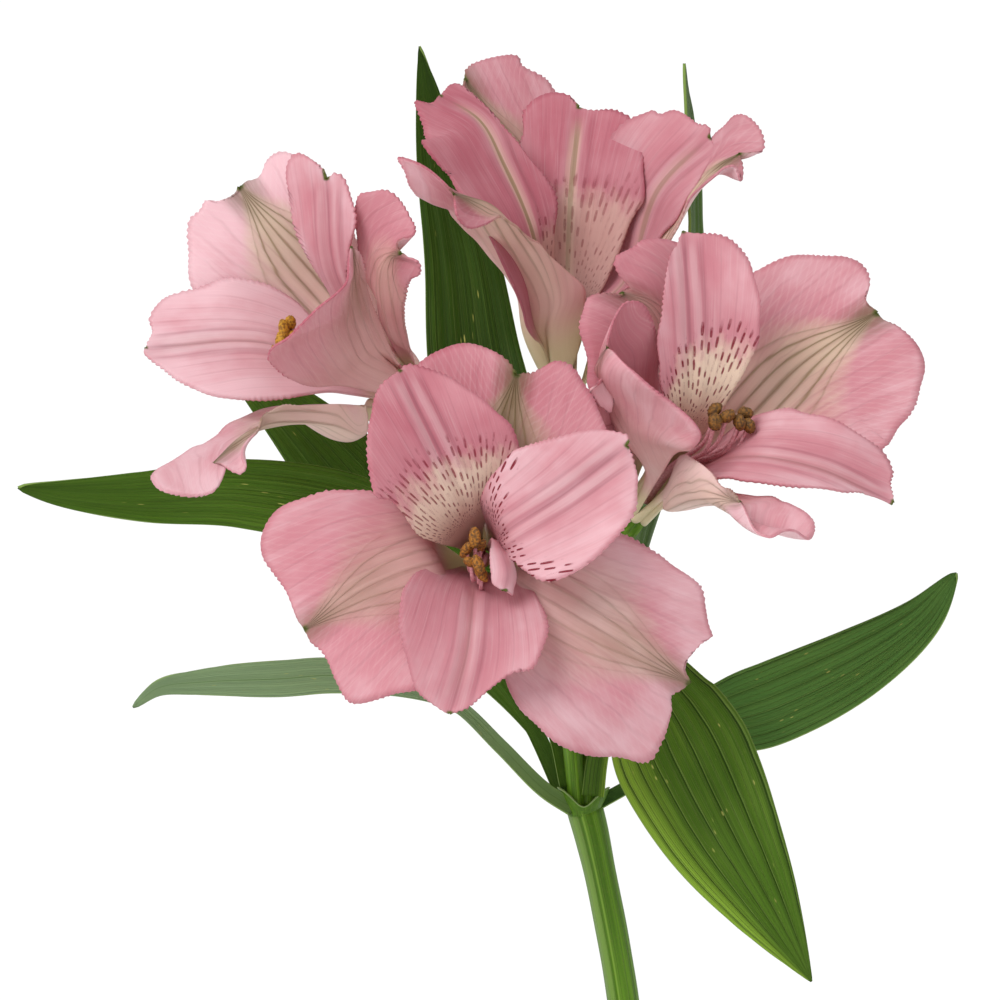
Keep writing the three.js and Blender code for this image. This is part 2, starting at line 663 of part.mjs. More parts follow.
// Each leaf starts beside the stem, at its own side and height
const LEAVES = {
  tall_left: {
    path: [
      [-0.6, 3, 2], [-3.6, 9.5, 19.5], [-11.5, 22, 46], [-17.5, 32, 69.5], [-20, 35, 88],
      [-24, 36, 106.5], [-27, 35, 123.5],
    ],
    half: 8.7, face: [0, -1, 0], swell: 0.8, taper: 0.8,
  },
  tall_right: {
    path: [
      [2, 2.4, 1], [4.5, 9.5, 18.5], [9.5, 20, 44], [14, 26, 59.5], [18, 30, 81],
      [18.5, 33, 101], [17, 32, 120.5],
    ],
    half: 7, face: [1, -0.2, 0],
  },
  far_left: {
    path: [
      [-2.8, -0.6, 1.4], [-5.6, 2, 12], [-20, 5, 33.5], [-35, 5, 44.5], [-55.5, 4, 49],
      [-71.5, 3, 48.5], [-84.5, 1, 49], [-92, 0, 50],
    ],
    half: 6.6, face: [0, -1, 0.4],
  },
  left: {
    path: [
      [-2.9, 1.1, -0.6], [-8.5, 5.4, 11.5], [-18.5, 11, 28.5], [-37, 15.5, 50],
      [-46.5, 17, 60.5], [-58.5, 18, 71],
    ],
    half: 9, face: [0, -1, 0],
  },
  low_left: {
    path: [
      [-2.4, -1.8, -1.4], [-6.5, -2, 1], [-13.5, -3, 8], [-21, -4, 15], [-29, -4, 18],
      [-41, -4, 19.5], [-49, -5, 19], [-61.5, -6, 18.5], [-69, -6, 17.5], [-73, -6, 14.5],
    ],
    half: 3.7, claw: 0.36, stalk: 0.8, face: [0, -1, 0.2],
  },
  low_right: {
    path: [
      [1.5, -2.4, 0], [2.2, -4.5, 6], [4.2, -8, 15], [8.5, -12, 19.5], [12.6, -14, 13.5],
      [15.8, -15.5, 7], [21.8, -17, -5], [28.6, -17, -16.5], [36.5, -15, -29.5],
    ],
    half: 11.3, taper: 0.9, stalk: 0.5, twist: [0, -55, -65, -65], face: [0, -1, 0],
  },
  far_right: {
    path: [
      [2.8, 0, -1], [9, 2, 2.5], [19, 4, 10.5], [31.5, 5, 15], [45, 6, 21.5],
      [55, 6.5, 28.5], [61, 7, 36],
    ],
    half: 7, face: [0, -1, 0.3],
  },
};

function leafSolid(leaf, rows, columns) {
  const rib = ribThrough(leaf.path.map(vec), vec(leaf.face).normalize());
  const blade = { ...LEAF, left: leaf.half, right: leaf.half, ...leaf };
  return bladeSolid(blade, rib, rows, columns, LEAF_THICKNESS);
}

// The flowering stem: the main stem, and for each bloom a thin stalk and a ribbed ovary

const headToWorld = new THREE.Matrix4()
  .makeRotationX(-HEAD_LEAN)
  .setPosition(NODE_OFFSET, 0, NODE_HEIGHT);
const worldToHead = headToWorld.clone().invert();
const SOIL_TOP = POT_HEIGHT - SOIL_BELOW_MOUTH;

const STEM_PATH = [
  [0, 0, SOIL_TOP - ROOT_DEPTH], [0, 0, SOIL_TOP - 10], [0, 0, SOIL_TOP + 6], [-1.2, -0.6, 130],
  [-4, -2.4, 170], [-7.8, -3.6, 208], [-12.6, -1, 233], [-14, 0, NODE_HEIGHT],
];
const STALKS = {
  front: [[-1, 0, -2], [-2.6, -1.2, 12], [-8, -3, 27]],
  right: [[0.6, 0.6, -2], [2.2, 2, 12], [3.8, 10, 28]],
  left: [[-0.8, 0.6, -2], [-2.4, 3, 12], [-10, 11, 38]],
  top: [[0, 0.6, -2], [-0.2, 3.6, 12], [-2.6, 16, 38]],
};

function stemSolid(grow = 0) {
  const main = STEM_PATH.map((p) => vec(p).applyMatrix4(worldToHead));
  const parts = [stalkSolid(main, () => STEM_RADIUS + grow, 10, 9)];
  parts.push(ballSolid(new THREE.Vector3(), [3, 3, 2.6].map((r) => r + grow), undefined, 8, 5));
  for (const [name, path] of Object.entries(STALKS)) {
    const { base, axis } = BLOOMS[name];
    const up = vec(axis).normalize();
    const along = (h) => vec(base).addScaledVector(up, h);
    const top = -CUP_DEPTH - SEAT_GAP;
    const foot = top - OVARY_LENGTH;
    const points = [...path.map(vec), along(foot - 2), along(foot + 2)];
    parts.push(stalkSolid(points, () => STALK_RADIUS + grow, 6, 7));
    const radiusAt = (share, side) => {
      const rib = side % 2 ? 1 : 1 - OVARY_GROOVE;
      return mix(STALK_RADIUS, OVARY_RADIUS, Math.sin(rad(90 * Math.min(1, 1.5 * share)))) * rib + grow;
    };
    parts.push(stalkSolid([along(foot), along(top + grow)], radiusAt, 12, 2));
  }
  return joined(parts);
}

// Stamens: six filaments with their anthers and one style, on a small disc inside the tube

const ANTHERS = {
  front: [
    [-19.5, -46, 40.5], [-17, -47, 41.5], [-15, -45, 40],
    [-18.5, -48, 38.5], [-16.5, -49, 38], [-17.5, -46, 36.5],
  ],
  right: [
    [21, -14.5, 62.5], [21, -16.5, 60.5], [23, -15.5, 61.5],
    [26, -12.5, 62], [25, -14.5, 60.5], [26.5, -13.5, 60],
  ],
  left: [
    [-48.5, -11, 75.5], [-47.5, -10, 76.5], [-49, -11, 73.5],
    [-49.5, -12, 72], [-46.5, -10, 74.5], [-48, -11, 72],
  ],
  top: [
    [-1.4, 18.4, 82], [-2.2, 17.1, 81.5], [-3.9, 17.1, 82.2],
    [-4.7, 18.6, 81.4], [-3.9, 20.1, 82], [-2.2, 20.1, 81.3],
  ],
};

function stamensSolid(name) {
  const { base, axis } = BLOOMS[name];
  const up = vec(axis).normalize();
  const along = (h) => vec(base).addScaledVector(up, h);
  const foot = CUP_HEIGHT + SEAT_GAP;
  const parts = [stalkSolid([along(foot), along(foot + 1.6)], () => DISC_RADIUS, 6, 1)];
  for (const place of ANTHERS[name]) {
    const end = vec(place);
    const aside = end.clone().sub(vec(base)).projectOnPlane(up).normalize().multiplyScalar(0.5);
    const points = [along(foot + 1).add(aside), along(TUBE_LENGTH + 1).addScaledVector(aside, 2), end];
    parts.push(stalkSolid(points, () => FILAMENT_RADIUS, 4, 4));
    parts.push(ballSolid(end, ANTHER, up, 5, 3));
  }
  return joined(parts);
}

// Leaves of the lower stem and young shoots out of the soil, in the pot's frame

const STEM_LEAVES = [
  { height: 174, turn: 200, length: 58 },
  { height: 160, turn: 335, length: 64 },
  { height: 140, turn: 85, length: 62 },
  { height: 122, turn: 190, length: 46 },
];

// A leaf that leaves a stalk upwards and arches over, towards a compass turn in degrees
function archPath(foot, turn, length, rise, away) {
  const out = new THREE.Vector3(Math.cos(rad(turn)), Math.sin(rad(turn)), 0);
  return [[away, 0], [0.2, 0.22], [0.5, 0.46], [0.8, 0.5], [1, 0.4]].map(([r, h], i) =>
    foot
      .clone()
      .addScaledVector(out, i ? away + r * length * 0.8 : away)
      .add(new THREE.Vector3(0, 0, h * length * rise)),
  );
}

function archLeaf(foot, { turn, length, rise = 1, away, half }, rows, columns) {
  const out = new THREE.Vector3(Math.cos(rad(turn)), Math.sin(rad(turn)), 0);
  const rib = ribThrough(archPath(foot, turn, length, rise, away), out.negate());
  return bladeSolid({ ...LEAF, left: half, right: half }, rib, rows, columns, LEAF_THICKNESS);
}

const stemCurve = new THREE.CatmullRomCurve3(STEM_PATH.map(vec), false, "centripetal");

function stemPlace(height) {
  const steps = stemCurve.getPoints(200);
  return steps.reduce((a, b) => (Math.abs(a.z - height) < Math.abs(b.z - height) ? a : b));
}

const SHOOTS = [
  { at: [31, 12], height: 54, turn: 20 },
  { at: [-27, 22], height: 60, turn: 140 },
  { at: [-12, -33], height: 44, turn: 260 },
];
const SHOOT_LEAVES = 7;

function shootSolid(shoot) {
  const [x, y] = shoot.at;
  const top = SOIL_TOP + shoot.height * 0.62;
  const foot = new THREE.Vector3(x, y, SOIL_TOP - SHOOT_DEPTH);
  const parts = [stalkSolid([foot, new THREE.Vector3(x, y, top)], (s) => mix(1.9, 1.2, s), 7, 1)];
  for (let i = 0; i < SHOOT_LEAVES; i++) {
    const share = i / (SHOOT_LEAVES - 1);
    const leaf = {
      turn: shoot.turn + i * 137.5,
      length: shoot.height * mix(0.45, 0.62, Math.sin(Math.PI * share * 0.8)),
      rise: mix(0.8, 1.6, share),
      away: 0.6,
      half: 4.6,
    };
    const start = new THREE.Vector3(x, y, mix(SOIL_TOP + 12, top - 1, share));
    parts.push(archLeaf(start, leaf, 5, 2));
  }
  return joined(parts);
}

// Pot and soil

const SIDES = 36;

function turned(profile) {
  const geometry = new THREE.LatheGeometry(profile.map((p) => new THREE.Vector2(...p)), SIDES);
  geometry.rotateX(Math.PI / 2);
  const solid = toSolid(geometry);
  return solid.volume() < 0 ? flipped(mergeVertices(bare(geometry))) : solid;
}

const potSlope = (POT_MOUTH_RADIUS - RIM_PROUD - POT_FOOT_RADIUS) / POT_HEIGHT;
const potRadius = (z) => POT_FOOT_RADIUS + potSlope * z;

function potSolid() {
  const rimFoot = POT_HEIGHT - RIM_HEIGHT;
  const pot = turned([
    [0, 0],
    [POT_FOOT_RADIUS - 1.5, 0],
    [POT_FOOT_RADIUS, 1.5],
    [potRadius(rimFoot), rimFoot],
    [potRadius(rimFoot) + RIM_PROUD, rimFoot + 1.2],
    [POT_MOUTH_RADIUS, POT_HEIGHT - 1.5],
    [POT_MOUTH_RADIUS - 1.5, POT_HEIGHT],
    [potRadius(POT_HEIGHT) - POT_WALL + 1.2, POT_HEIGHT],
    [potRadius(POT_HEIGHT) - POT_WALL, POT_HEIGHT - 1.2],
    [potRadius(POT_FLOOR) - POT_WALL, POT_FLOOR],
    [0, POT_FLOOR],
  ]);
  const drains = [90, 210, 330].map((turn) =>
    toSolid(new THREE.CylinderGeometry(DRAIN_RADIUS, DRAIN_RADIUS, 4 * POT_FLOOR, 12).rotateX(Math.PI / 2))
      .translate(DRAIN_REACH * Math.cos(rad(turn)), DRAIN_REACH * Math.sin(rad(turn)), 0),
  );
  return drains.reduce((pot, drain) => pot.subtract(drain), pot);
}

function soilSolid() {
  const inner = (z) => potRadius(z) - POT_WALL - SEAT_GAP;
  const floor = POT_FLOOR + SEAT_GAP;
  const body = turned([
    [0, floor],
    [inner(floor), floor],
    [inner(SOIL_TOP - 3), SOIL_TOP - 3],
    [inner(SOIL_TOP) - 8, SOIL_TOP - 1],
    [0, SOIL_TOP],
  ]);
  const hole = (x, y, radius, depth) =>
    toSolid(new THREE.CylinderGeometry(radius, radius, depth + 10, 16).rotateX(Math.PI / 2))
      .translate(x, y, SOIL_TOP + 5 - depth / 2);
  return [hole(0, 0, STEM_RADIUS + SEAT_GAP, ROOT_DEPTH + SEAT_GAP)]
    .concat(SHOOTS.map(({ at: [x, y] }) => hole(x, y, 1.9 + SEAT_GAP, SHOOT_DEPTH + SEAT_GAP)))
    .reduce((soil, cut) => soil.subtract(cut), body);
}

// Assembly

const finish = (color, roughness) => new THREE.MeshStandardMaterial({ color, roughness });
const root = new THREE.Group();
const head = new THREE.Group();
head.name = "head";
head.applyMatrix4(headToWorld);
root.add(head);

function place(parent, name, solid, color, roughness) {
  const body = mainBody(solid).simplify(SMOOTHING);
  const mesh = new THREE.Mesh(toGeometry(body), finish(color, roughness));
  mesh.name = name;
  parent.add(mesh);
}

const GREEN = 0x3f6b24;
const stem = stemSolid();
const stemRoom = stemSolid(SEAT_GAP);
place(root, "pot", potSolid(), 0xb5653f, 0.85);
place(root, "soil", soilSolid(), 0x3a2a20, 0.95);
place(head, "stem", stem, 0x7f9a45, 0.5);
for (const name of Object.keys(BLOOMS)) {
  place(head, "tepals_" + name, bloomSolids[name].subtract(stemRoom), 0xe0899a, 0.6);
  place(head, "stamens_" + name, stamensSolid(name), 0x9a6a3a, 0.7);
}
for (const [name, leaf] of Object.entries(LEAVES)) {
  place(head, "leaf_" + name, leafSolid(leaf, 10, 4).subtract(stemRoom), GREEN, 0.45);
}
STEM_LEAVES.forEach((leaf, i) => {
  const solid = archLeaf(stemPlace(leaf.height), { ...leaf, away: STEM_RADIUS + 0.1, half: 6.5 }, 7, 4);
  place(root, `stem_leaf_${i + 1}`, solid.subtract(stemRoom.transform(headToWorld.elements)), GREEN, 0.45);
});
SHOOTS.forEach((shoot, i) => place(root, `shoot_${i + 1}`, shootSolid(shoot), GREEN, 0.45));

export default root;
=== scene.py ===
"""Looks of a potted Peruvian lily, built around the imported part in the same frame.

Sizes are millimetres. A mesh is set in metres, as the frame is. The head of the plant has a
frame of its own: origin at the stem's top node, x to the viewer's right, y away from the
viewer and z up.
"""

from __future__ import annotations

import logging
import math
from collections.abc import Callable
from dataclasses import dataclass, replace
from enum import Enum

import bpy
import numpy as np
from mathutils import Matrix, Vector, noise


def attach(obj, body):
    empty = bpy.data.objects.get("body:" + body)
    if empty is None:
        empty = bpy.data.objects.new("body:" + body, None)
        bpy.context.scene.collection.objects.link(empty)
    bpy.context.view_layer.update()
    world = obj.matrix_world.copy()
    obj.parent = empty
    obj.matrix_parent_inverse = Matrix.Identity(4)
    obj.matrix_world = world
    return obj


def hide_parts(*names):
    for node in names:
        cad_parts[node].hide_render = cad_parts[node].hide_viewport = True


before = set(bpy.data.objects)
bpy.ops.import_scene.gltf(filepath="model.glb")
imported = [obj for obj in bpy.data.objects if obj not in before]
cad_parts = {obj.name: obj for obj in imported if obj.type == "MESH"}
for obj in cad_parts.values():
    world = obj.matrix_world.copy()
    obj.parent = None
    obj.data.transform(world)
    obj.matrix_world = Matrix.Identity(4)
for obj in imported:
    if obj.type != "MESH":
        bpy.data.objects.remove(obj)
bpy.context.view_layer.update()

LOG = logging.getLogger("lily")
BODY = "root"
MM = 0.001

Array = np.ndarray
Point = tuple[float, float, float]
Line = tuple[Point | Array, ...]
Socket = bpy.types.NodeSocket

# Sizes that the CAD part has too
POT_HEIGHT = 108.0
POT_FOOT_RADIUS = 40.0
POT_MOUTH_RADIUS = 58.0
POT_WALL = 4.5
POT_FLOOR = 6.0
RIM_HEIGHT = 22.0
RIM_PROUD = 3.5
DRAIN_RADIUS = 4.0
DRAIN_REACH = 20.0
DRAIN_TURNS = (90, 210, 330)
SOIL_TOP = 96.0
NODE_HEIGHT = 240.0
NODE_OFFSET = -14.0
HEAD_LEAN = math.radians(15)
STEM_RADIUS = 2.6
GROOVE_ANGLE = -0.36  # of the stem's groove, from its front
STALK_RADIUS = 1.35
OVARY_RADIUS = 2.7
OVARY_LENGTH = 8.0
TUBE_LENGTH = 11.0
CUP_DEPTH = 0.6
CUP_HEIGHT = 2.4
SEAT_GAP = 0.3
FRAME_STEPS = 48  # a rib's frame is carried in this many steps, as the part's is
STEM_SEED = 2
COLLAR_SEED = 99
TURNS = 4096  # of a random line, before it starts anew
RIPPLE_PITCH = 5.5
OTHER_SIDE = 900  # so far on, a random line serves the other margin
TIP_FINE = 0.85  # a margin's points lie closer to one another towards the tip
EARLY = 0.3  # from here a tepal's rows spread evenly towards its tip
CURVE_STEPS = 800
MARGIN_STEPS = 600
RAIL_STEPS = 400
RAIL_BLUR = 20  # steps of a rail to each side, over which its nearest shares are evened
TOOTH_PITCH = 0.95
TOOTH_REACH = 0.6  # a margin's slope is taken so far to each side of a tooth

_C, _S = math.cos(HEAD_LEAN), math.sin(HEAD_LEAN)
POT_SPACE = np.eye(4)
HEAD_SPACE = np.array(
    [[1, 0, 0, NODE_OFFSET], [0, _C, _S, 0], [0, -_S, _C, NODE_HEIGHT], [0, 0, 0, 1]]
)


def unit(vector: Array) -> Array:
    """Vectors of length one, along the last axis."""
    return vector / np.linalg.norm(vector, axis=-1, keepdims=True)


def smooth(value: Array, low: float, high: float) -> Array:
    """A soft step from 0 at low to 1 at high."""
    share = np.clip((value - low) / (high - low), 0, 1)
    return share * share * (3 - 2 * share)


def through(knots: tuple[float, ...], share: Array) -> Array:
    """A value that runs smoothly through knots spread evenly over 0 to 1.

    Args:
        knots: The values to run through.
        share: Where to read them, from 0 to 1.

    Returns:
        The value at each share.
    """
    at = np.clip(share, 0, 1) * (len(knots) - 1)
    first = np.minimum(at.astype(int), len(knots) - 2)
    ease = smooth(at - first, 0, 1)
    values = np.array(knots, float)
    return values[first] * (1 - ease) + values[first + 1] * ease


def run_of(line: Array) -> Array:
    """The distance along a line of points, at each of them."""
    return np.concatenate([[0], np.cumsum(np.linalg.norm(np.diff(line, axis=0), axis=1))])


def read(at: Array, run: Array, table: Array) -> Array:
    """A table's rows, which lie at the distances in run, read between them at others."""
    return np.stack([np.interp(at, run, column) for column in table.T], axis=-1)


def lump(x: float, y: float) -> float:
    """Soft random hills between -1 and 1 over a plane."""
    return noise.noise(Vector((x, y, 0.5)))


def wander(distance: Array, pitch: float, seed: int) -> Array:
    """A smooth random line between -1 and 1.

    Args:
        distance: Where to read it, in millimetres.
        pitch: The distance between its turns.
        seed: Which line to take.

    Returns:
        The line's value at each distance.
    """
    turns = np.random.default_rng(seed).uniform(-1, 1, TURNS)
    at = np.abs(distance) / pitch
    first = at.astype(int) % (TURNS - 1)
    ease = smooth(at - np.floor(at), 0, 1)
    return turns[first] * (1 - ease) + turns[first + 1] * ease


@dataclass(frozen=True)
class Rib:
    """A smooth line through points, with a frame that turns as little as it can.

    Attributes:
        places: Points at even spacing.
        tangents: The line's direction at each.
        normals: The direction that a blade's upper face looks in at each.
        length: The line's length.
    """

    places: Array
    tangents: Array
    normals: Array
    length: float

    @staticmethod
    def curve(points: Array, steps: int) -> tuple[Array, float]:
        """Even points of the centripetal Catmull-Rom curve through given points.

        Args:
            points: The points that the curve runs through.
            steps: How many equal stretches to cut it into.

        Returns:
            The points and the curve's length.
        """
        first = 2 * points[0] - points[1]
        last = 2 * points[-1] - points[-2]
        knots = np.vstack([first, points, last])
        spans = np.maximum(np.linalg.norm(np.diff(knots, axis=0), axis=1) ** 0.5, 1e-4)
        at = np.linspace(0, len(points) - 1, CURVE_STEPS + 1)
        i = np.minimum(at.astype(int), len(points) - 2)
        t = (at - i)[:, None]
        p0, p1, p2, p3 = (knots[i + k] for k in range(4))
        d0, d1, d2 = (spans[i + k][:, None] for k in range(3))
        start = ((p1 - p0) / d0 - (p2 - p0) / (d0 + d1) + (p2 - p1) / d1) * d1
        end = ((p2 - p1) / d1 - (p3 - p1) / (d1 + d2) + (p3 - p2) / d2) * d1
        line = (
            p1
            + start * t
            + (3 * (p2 - p1) - 2 * start - end) * t**2
            + (2 * (p1 - p2) + start + end) * t**3
        )
        run = run_of(line)
        return read(np.linspace(0, run[-1], steps + 1), run, line), float(run[-1])

    @classmethod
    def along(cls, points: Array, first_normal: Array, steps: int = 192) -> Rib:
        """The rib through points whose upper face first looks along first_normal.

        Args:
            points: The points that the rib runs through.
            first_normal: Roughly where the upper face looks at the root.
            steps: How many equal stretches to cut it into.

        Returns:
            The rib.
        """
        places, length = cls.curve(np.asarray(points, float), steps)
        tangents = cls.slopes(places)
        normal = unit(np.asarray(first_normal, float))
        carried = []
        for tangent in cls.slopes(cls.curve(np.asarray(points, float), FRAME_STEPS)[0]):
            normal = unit(normal - tangent * normal.dot(tangent))
            carried.append(normal)
        coarse, fine = np.linspace(0, 1, FRAME_STEPS + 1), np.linspace(0, 1, steps + 1)
        normals = read(fine, coarse, np.array(carried))
        normals = unit(normals - tangents * np.sum(normals * tangents, axis=1, keepdims=True))
        return cls(places, tangents, normals, length)

    @staticmethod
    def slopes(places: Array) -> Array:
        """The direction of a line of points at each of them."""
        ahead = np.vstack([places[1:], places[-1:]])
        behind = np.vstack([places[:1], places[:-1]])
        return unit(ahead - behind)

    def at(self, share: Array, turn: Array) -> tuple[Array, Array, Array]:
        """Places and frames by share of the length; past the end the rib runs on straight.

        Args:
            share: Where, from 0 at the root to 1 at the tip.
            turn: How far the face is turned about the rib there, in radians.

        Returns:
            The places, and the directions of the face and of its right side.
        """
        steps = len(self.places) - 1
        at = np.maximum(share, 0) * steps
        i = np.minimum(at.astype(int), steps - 1)
        f = (at - i)[:, None]
        g = np.minimum(f, 1)
        place = self.places[i] * (1 - f) + self.places[i + 1] * f
        along = unit(self.tangents[i] * (1 - g) + self.tangents[i + 1] * g)
        face = self.normals[i] * (1 - g) + self.normals[i + 1] * g
        face = unit(face - along * np.sum(face * along, axis=1, keepdims=True))
        across = np.cross(along, face)
        cos, sin = np.cos(turn)[:, None], np.sin(turn)[:, None]
        face, side = face * cos + across * sin, across * cos - face * sin
        return place, face, side


class Shaper:
    """Makes meshes with Blender's own operators and keeps their places in their vertices."""

    @staticmethod
    def clear_selection() -> None:
        """Leaves nothing selected, so that an operator acts on its own object alone."""
        if bpy.context.object and bpy.context.object.mode != "OBJECT":
            bpy.ops.object.mode_set(mode="OBJECT")
        bpy.ops.object.select_all(action="DESELECT")

    @classmethod
    def pick(cls, obj: bpy.types.Object) -> None:
        """Selects one object and makes it active."""
        cls.clear_selection()
        obj.select_set(True)
        bpy.context.view_layer.objects.active = obj

    @classmethod
    def sheet(cls, name: str, rows: int, columns: int) -> tuple[bpy.types.Object, Array, Array]:
        """Adds a flat grid to be bent into a blade or a tube.

        Args:
            name: The object's name.
            rows: How many rows of faces run from root to tip.
            columns: How many faces a row has.

        Returns:
            The object, and for each vertex its share of the length from 0 to 1 and its
            place across from -1 to 1.
        """
        cls.clear_selection()
        bpy.ops.mesh.primitive_grid_add(x_subdivisions=columns, y_subdivisions=rows, size=2)
        obj = bpy.context.object
        obj.name = obj.data.name = name
        flat = cls.corners(obj)
        return obj, (flat[:, 1] + 1) / 2, flat[:, 0]

    @staticmethod
    def corners(obj: bpy.types.Object) -> Array:
        """The places of an object's vertices."""
        flat = np.empty(3 * len(obj.data.vertices))
        obj.data.vertices.foreach_get("co", flat)
        return flat.reshape(-1, 3)

    @staticmethod
    def bend(obj: bpy.types.Object, places: Array, space: Array) -> None:
        """Puts an object's vertices at places given in one of the two spaces."""
        world = places @ space[:3, :3].T + space[:3, 3]
        obj.data.vertices.foreach_set("co", (world * MM).astype(np.float32).ravel())
        obj.data.update()

    @staticmethod
    def note(obj: bpy.types.Object, name: str, *values: Array | float) -> None:
        """Keeps three numbers for each vertex, which a material reads by name."""
        mark = obj.data.attributes.new(name, "FLOAT_VECTOR", "POINT")
        table = np.empty((len(obj.data.vertices), 3), np.float32)
        for k, value in enumerate(values):
            table[:, k] = value
        mark.data.foreach_set("vector", table.ravel())

    @classmethod
    def weld(cls, obj: bpy.types.Object, near: float = 0.004, caps: bool = False) -> None:
        """Merges the vertices that meet at a pole or a seam, and may cap open ends.

        Args:
            obj: The object.
            near: Vertices this near each other are merged, in millimetres.
            caps: Whether to close the open ends.
        """
        cls.pick(obj)
        bpy.ops.object.mode_set(mode="EDIT")
        bpy.ops.mesh.select_all(action="SELECT")
        bpy.ops.mesh.remove_doubles(threshold=near * MM)
        if caps:
            bpy.ops.mesh.select_all(action="SELECT")
            bpy.ops.mesh.fill_holes(sides=0)
            bpy.ops.mesh.select_all(action="SELECT")
            bpy.ops.mesh.normals_make_consistent(inside=False)
        bpy.ops.object.mode_set(mode="OBJECT")

    @classmethod
    def thicken(cls, obj: bpy.types.Object, thickness: float) -> None:
        """Gives a sheet its thickness; its under face takes the next material slot."""
        cls.pick(obj)
        wall = obj.modifiers.new("thickness", "SOLIDIFY")
        wall.thickness = thickness * MM
        wall.offset = 0
        wall.material_offset = 1
        wall.material_offset_rim = 0
        bpy.ops.object.modifier_apply(modifier=wall.name)

    @classmethod
    def join(cls, name: str, parts: list[bpy.types.Object]) -> bpy.types.Object:
        """Joins parts into one smooth-shaded piece at the origin.

        Args:
            name: The piece's name.
            parts: The objects to join.

        Returns:
            The piece.
        """
        cls.pick(parts[0])
        for part in parts[1:]:
            part.select_set(True)
        if len(parts) > 1:
            bpy.ops.object.join()
        piece = bpy.context.object
        piece.name = piece.data.name = name
        bpy.ops.object.shade_smooth()
        return piece


def _math(operation: str, swapped: bool = False) -> Callable[..., Field]:
    """A method that makes a Math node of its number and perhaps of another one.

    Args:
        operation: What the node does.
        swapped: Whether the other number comes first.

    Returns:
        The method.
    """

    def method(self: Field, other: Number = 0.0) -> Field:
        """The node's result."""
        pair = (other, self) if swapped else (self, other)
        node = self.graph.add("ShaderNodeMath", dict(enumerate(pair)), operation=operation)
        return Field(self.graph, node.outputs[0])

    return method


@dataclass(frozen=True)
class Field:
    """A number that varies over a surface, with the usual arithmetic.

    Attributes:
        graph: The material's nodes that it belongs to.
        socket: The output that carries it.
    """

    graph: Graph
    socket: Socket

    __add__, __radd__ = _math("ADD"), _math("ADD", swapped=True)
    __sub__, __rsub__ = _math("SUBTRACT"), _math("SUBTRACT", swapped=True)
    __mul__, __rmul__ = _math("MULTIPLY"), _math("MULTIPLY", swapped=True)
    __truediv__, __abs__ = _math("DIVIDE"), _math("ABSOLUTE")
    floor, fract, log = _math("FLOOR"), _math("FRACT"), _math("LOGARITHM")

    def rise(self, low: float, high: float) -> Field:
        """A soft step from 0 at low to 1 at high; low may be the larger."""
        ends = {0: self, 1: min(low, high), 2: max(low, high)}
        node = self.graph.add(
            "ShaderNodeMapRange",
            ends | {3: float(low > high), 4: float(low < high)},
            interpolation_type="SMOOTHSTEP",
        )
        return Field(self.graph, node.outputs[0])

    def line(self, count: float, width: float) -> Field:
        """Thin lines at even places.

        Args:
            count: How many lines there are for each unit of this number.
            width: A line's width as a share of the space between two lines.

        Returns:
            1 on a line and 0 away from it.
        """
        return abs((self * count + 0.5).fract() - 0.5).rise(width, 0.0)


Number = float | Field


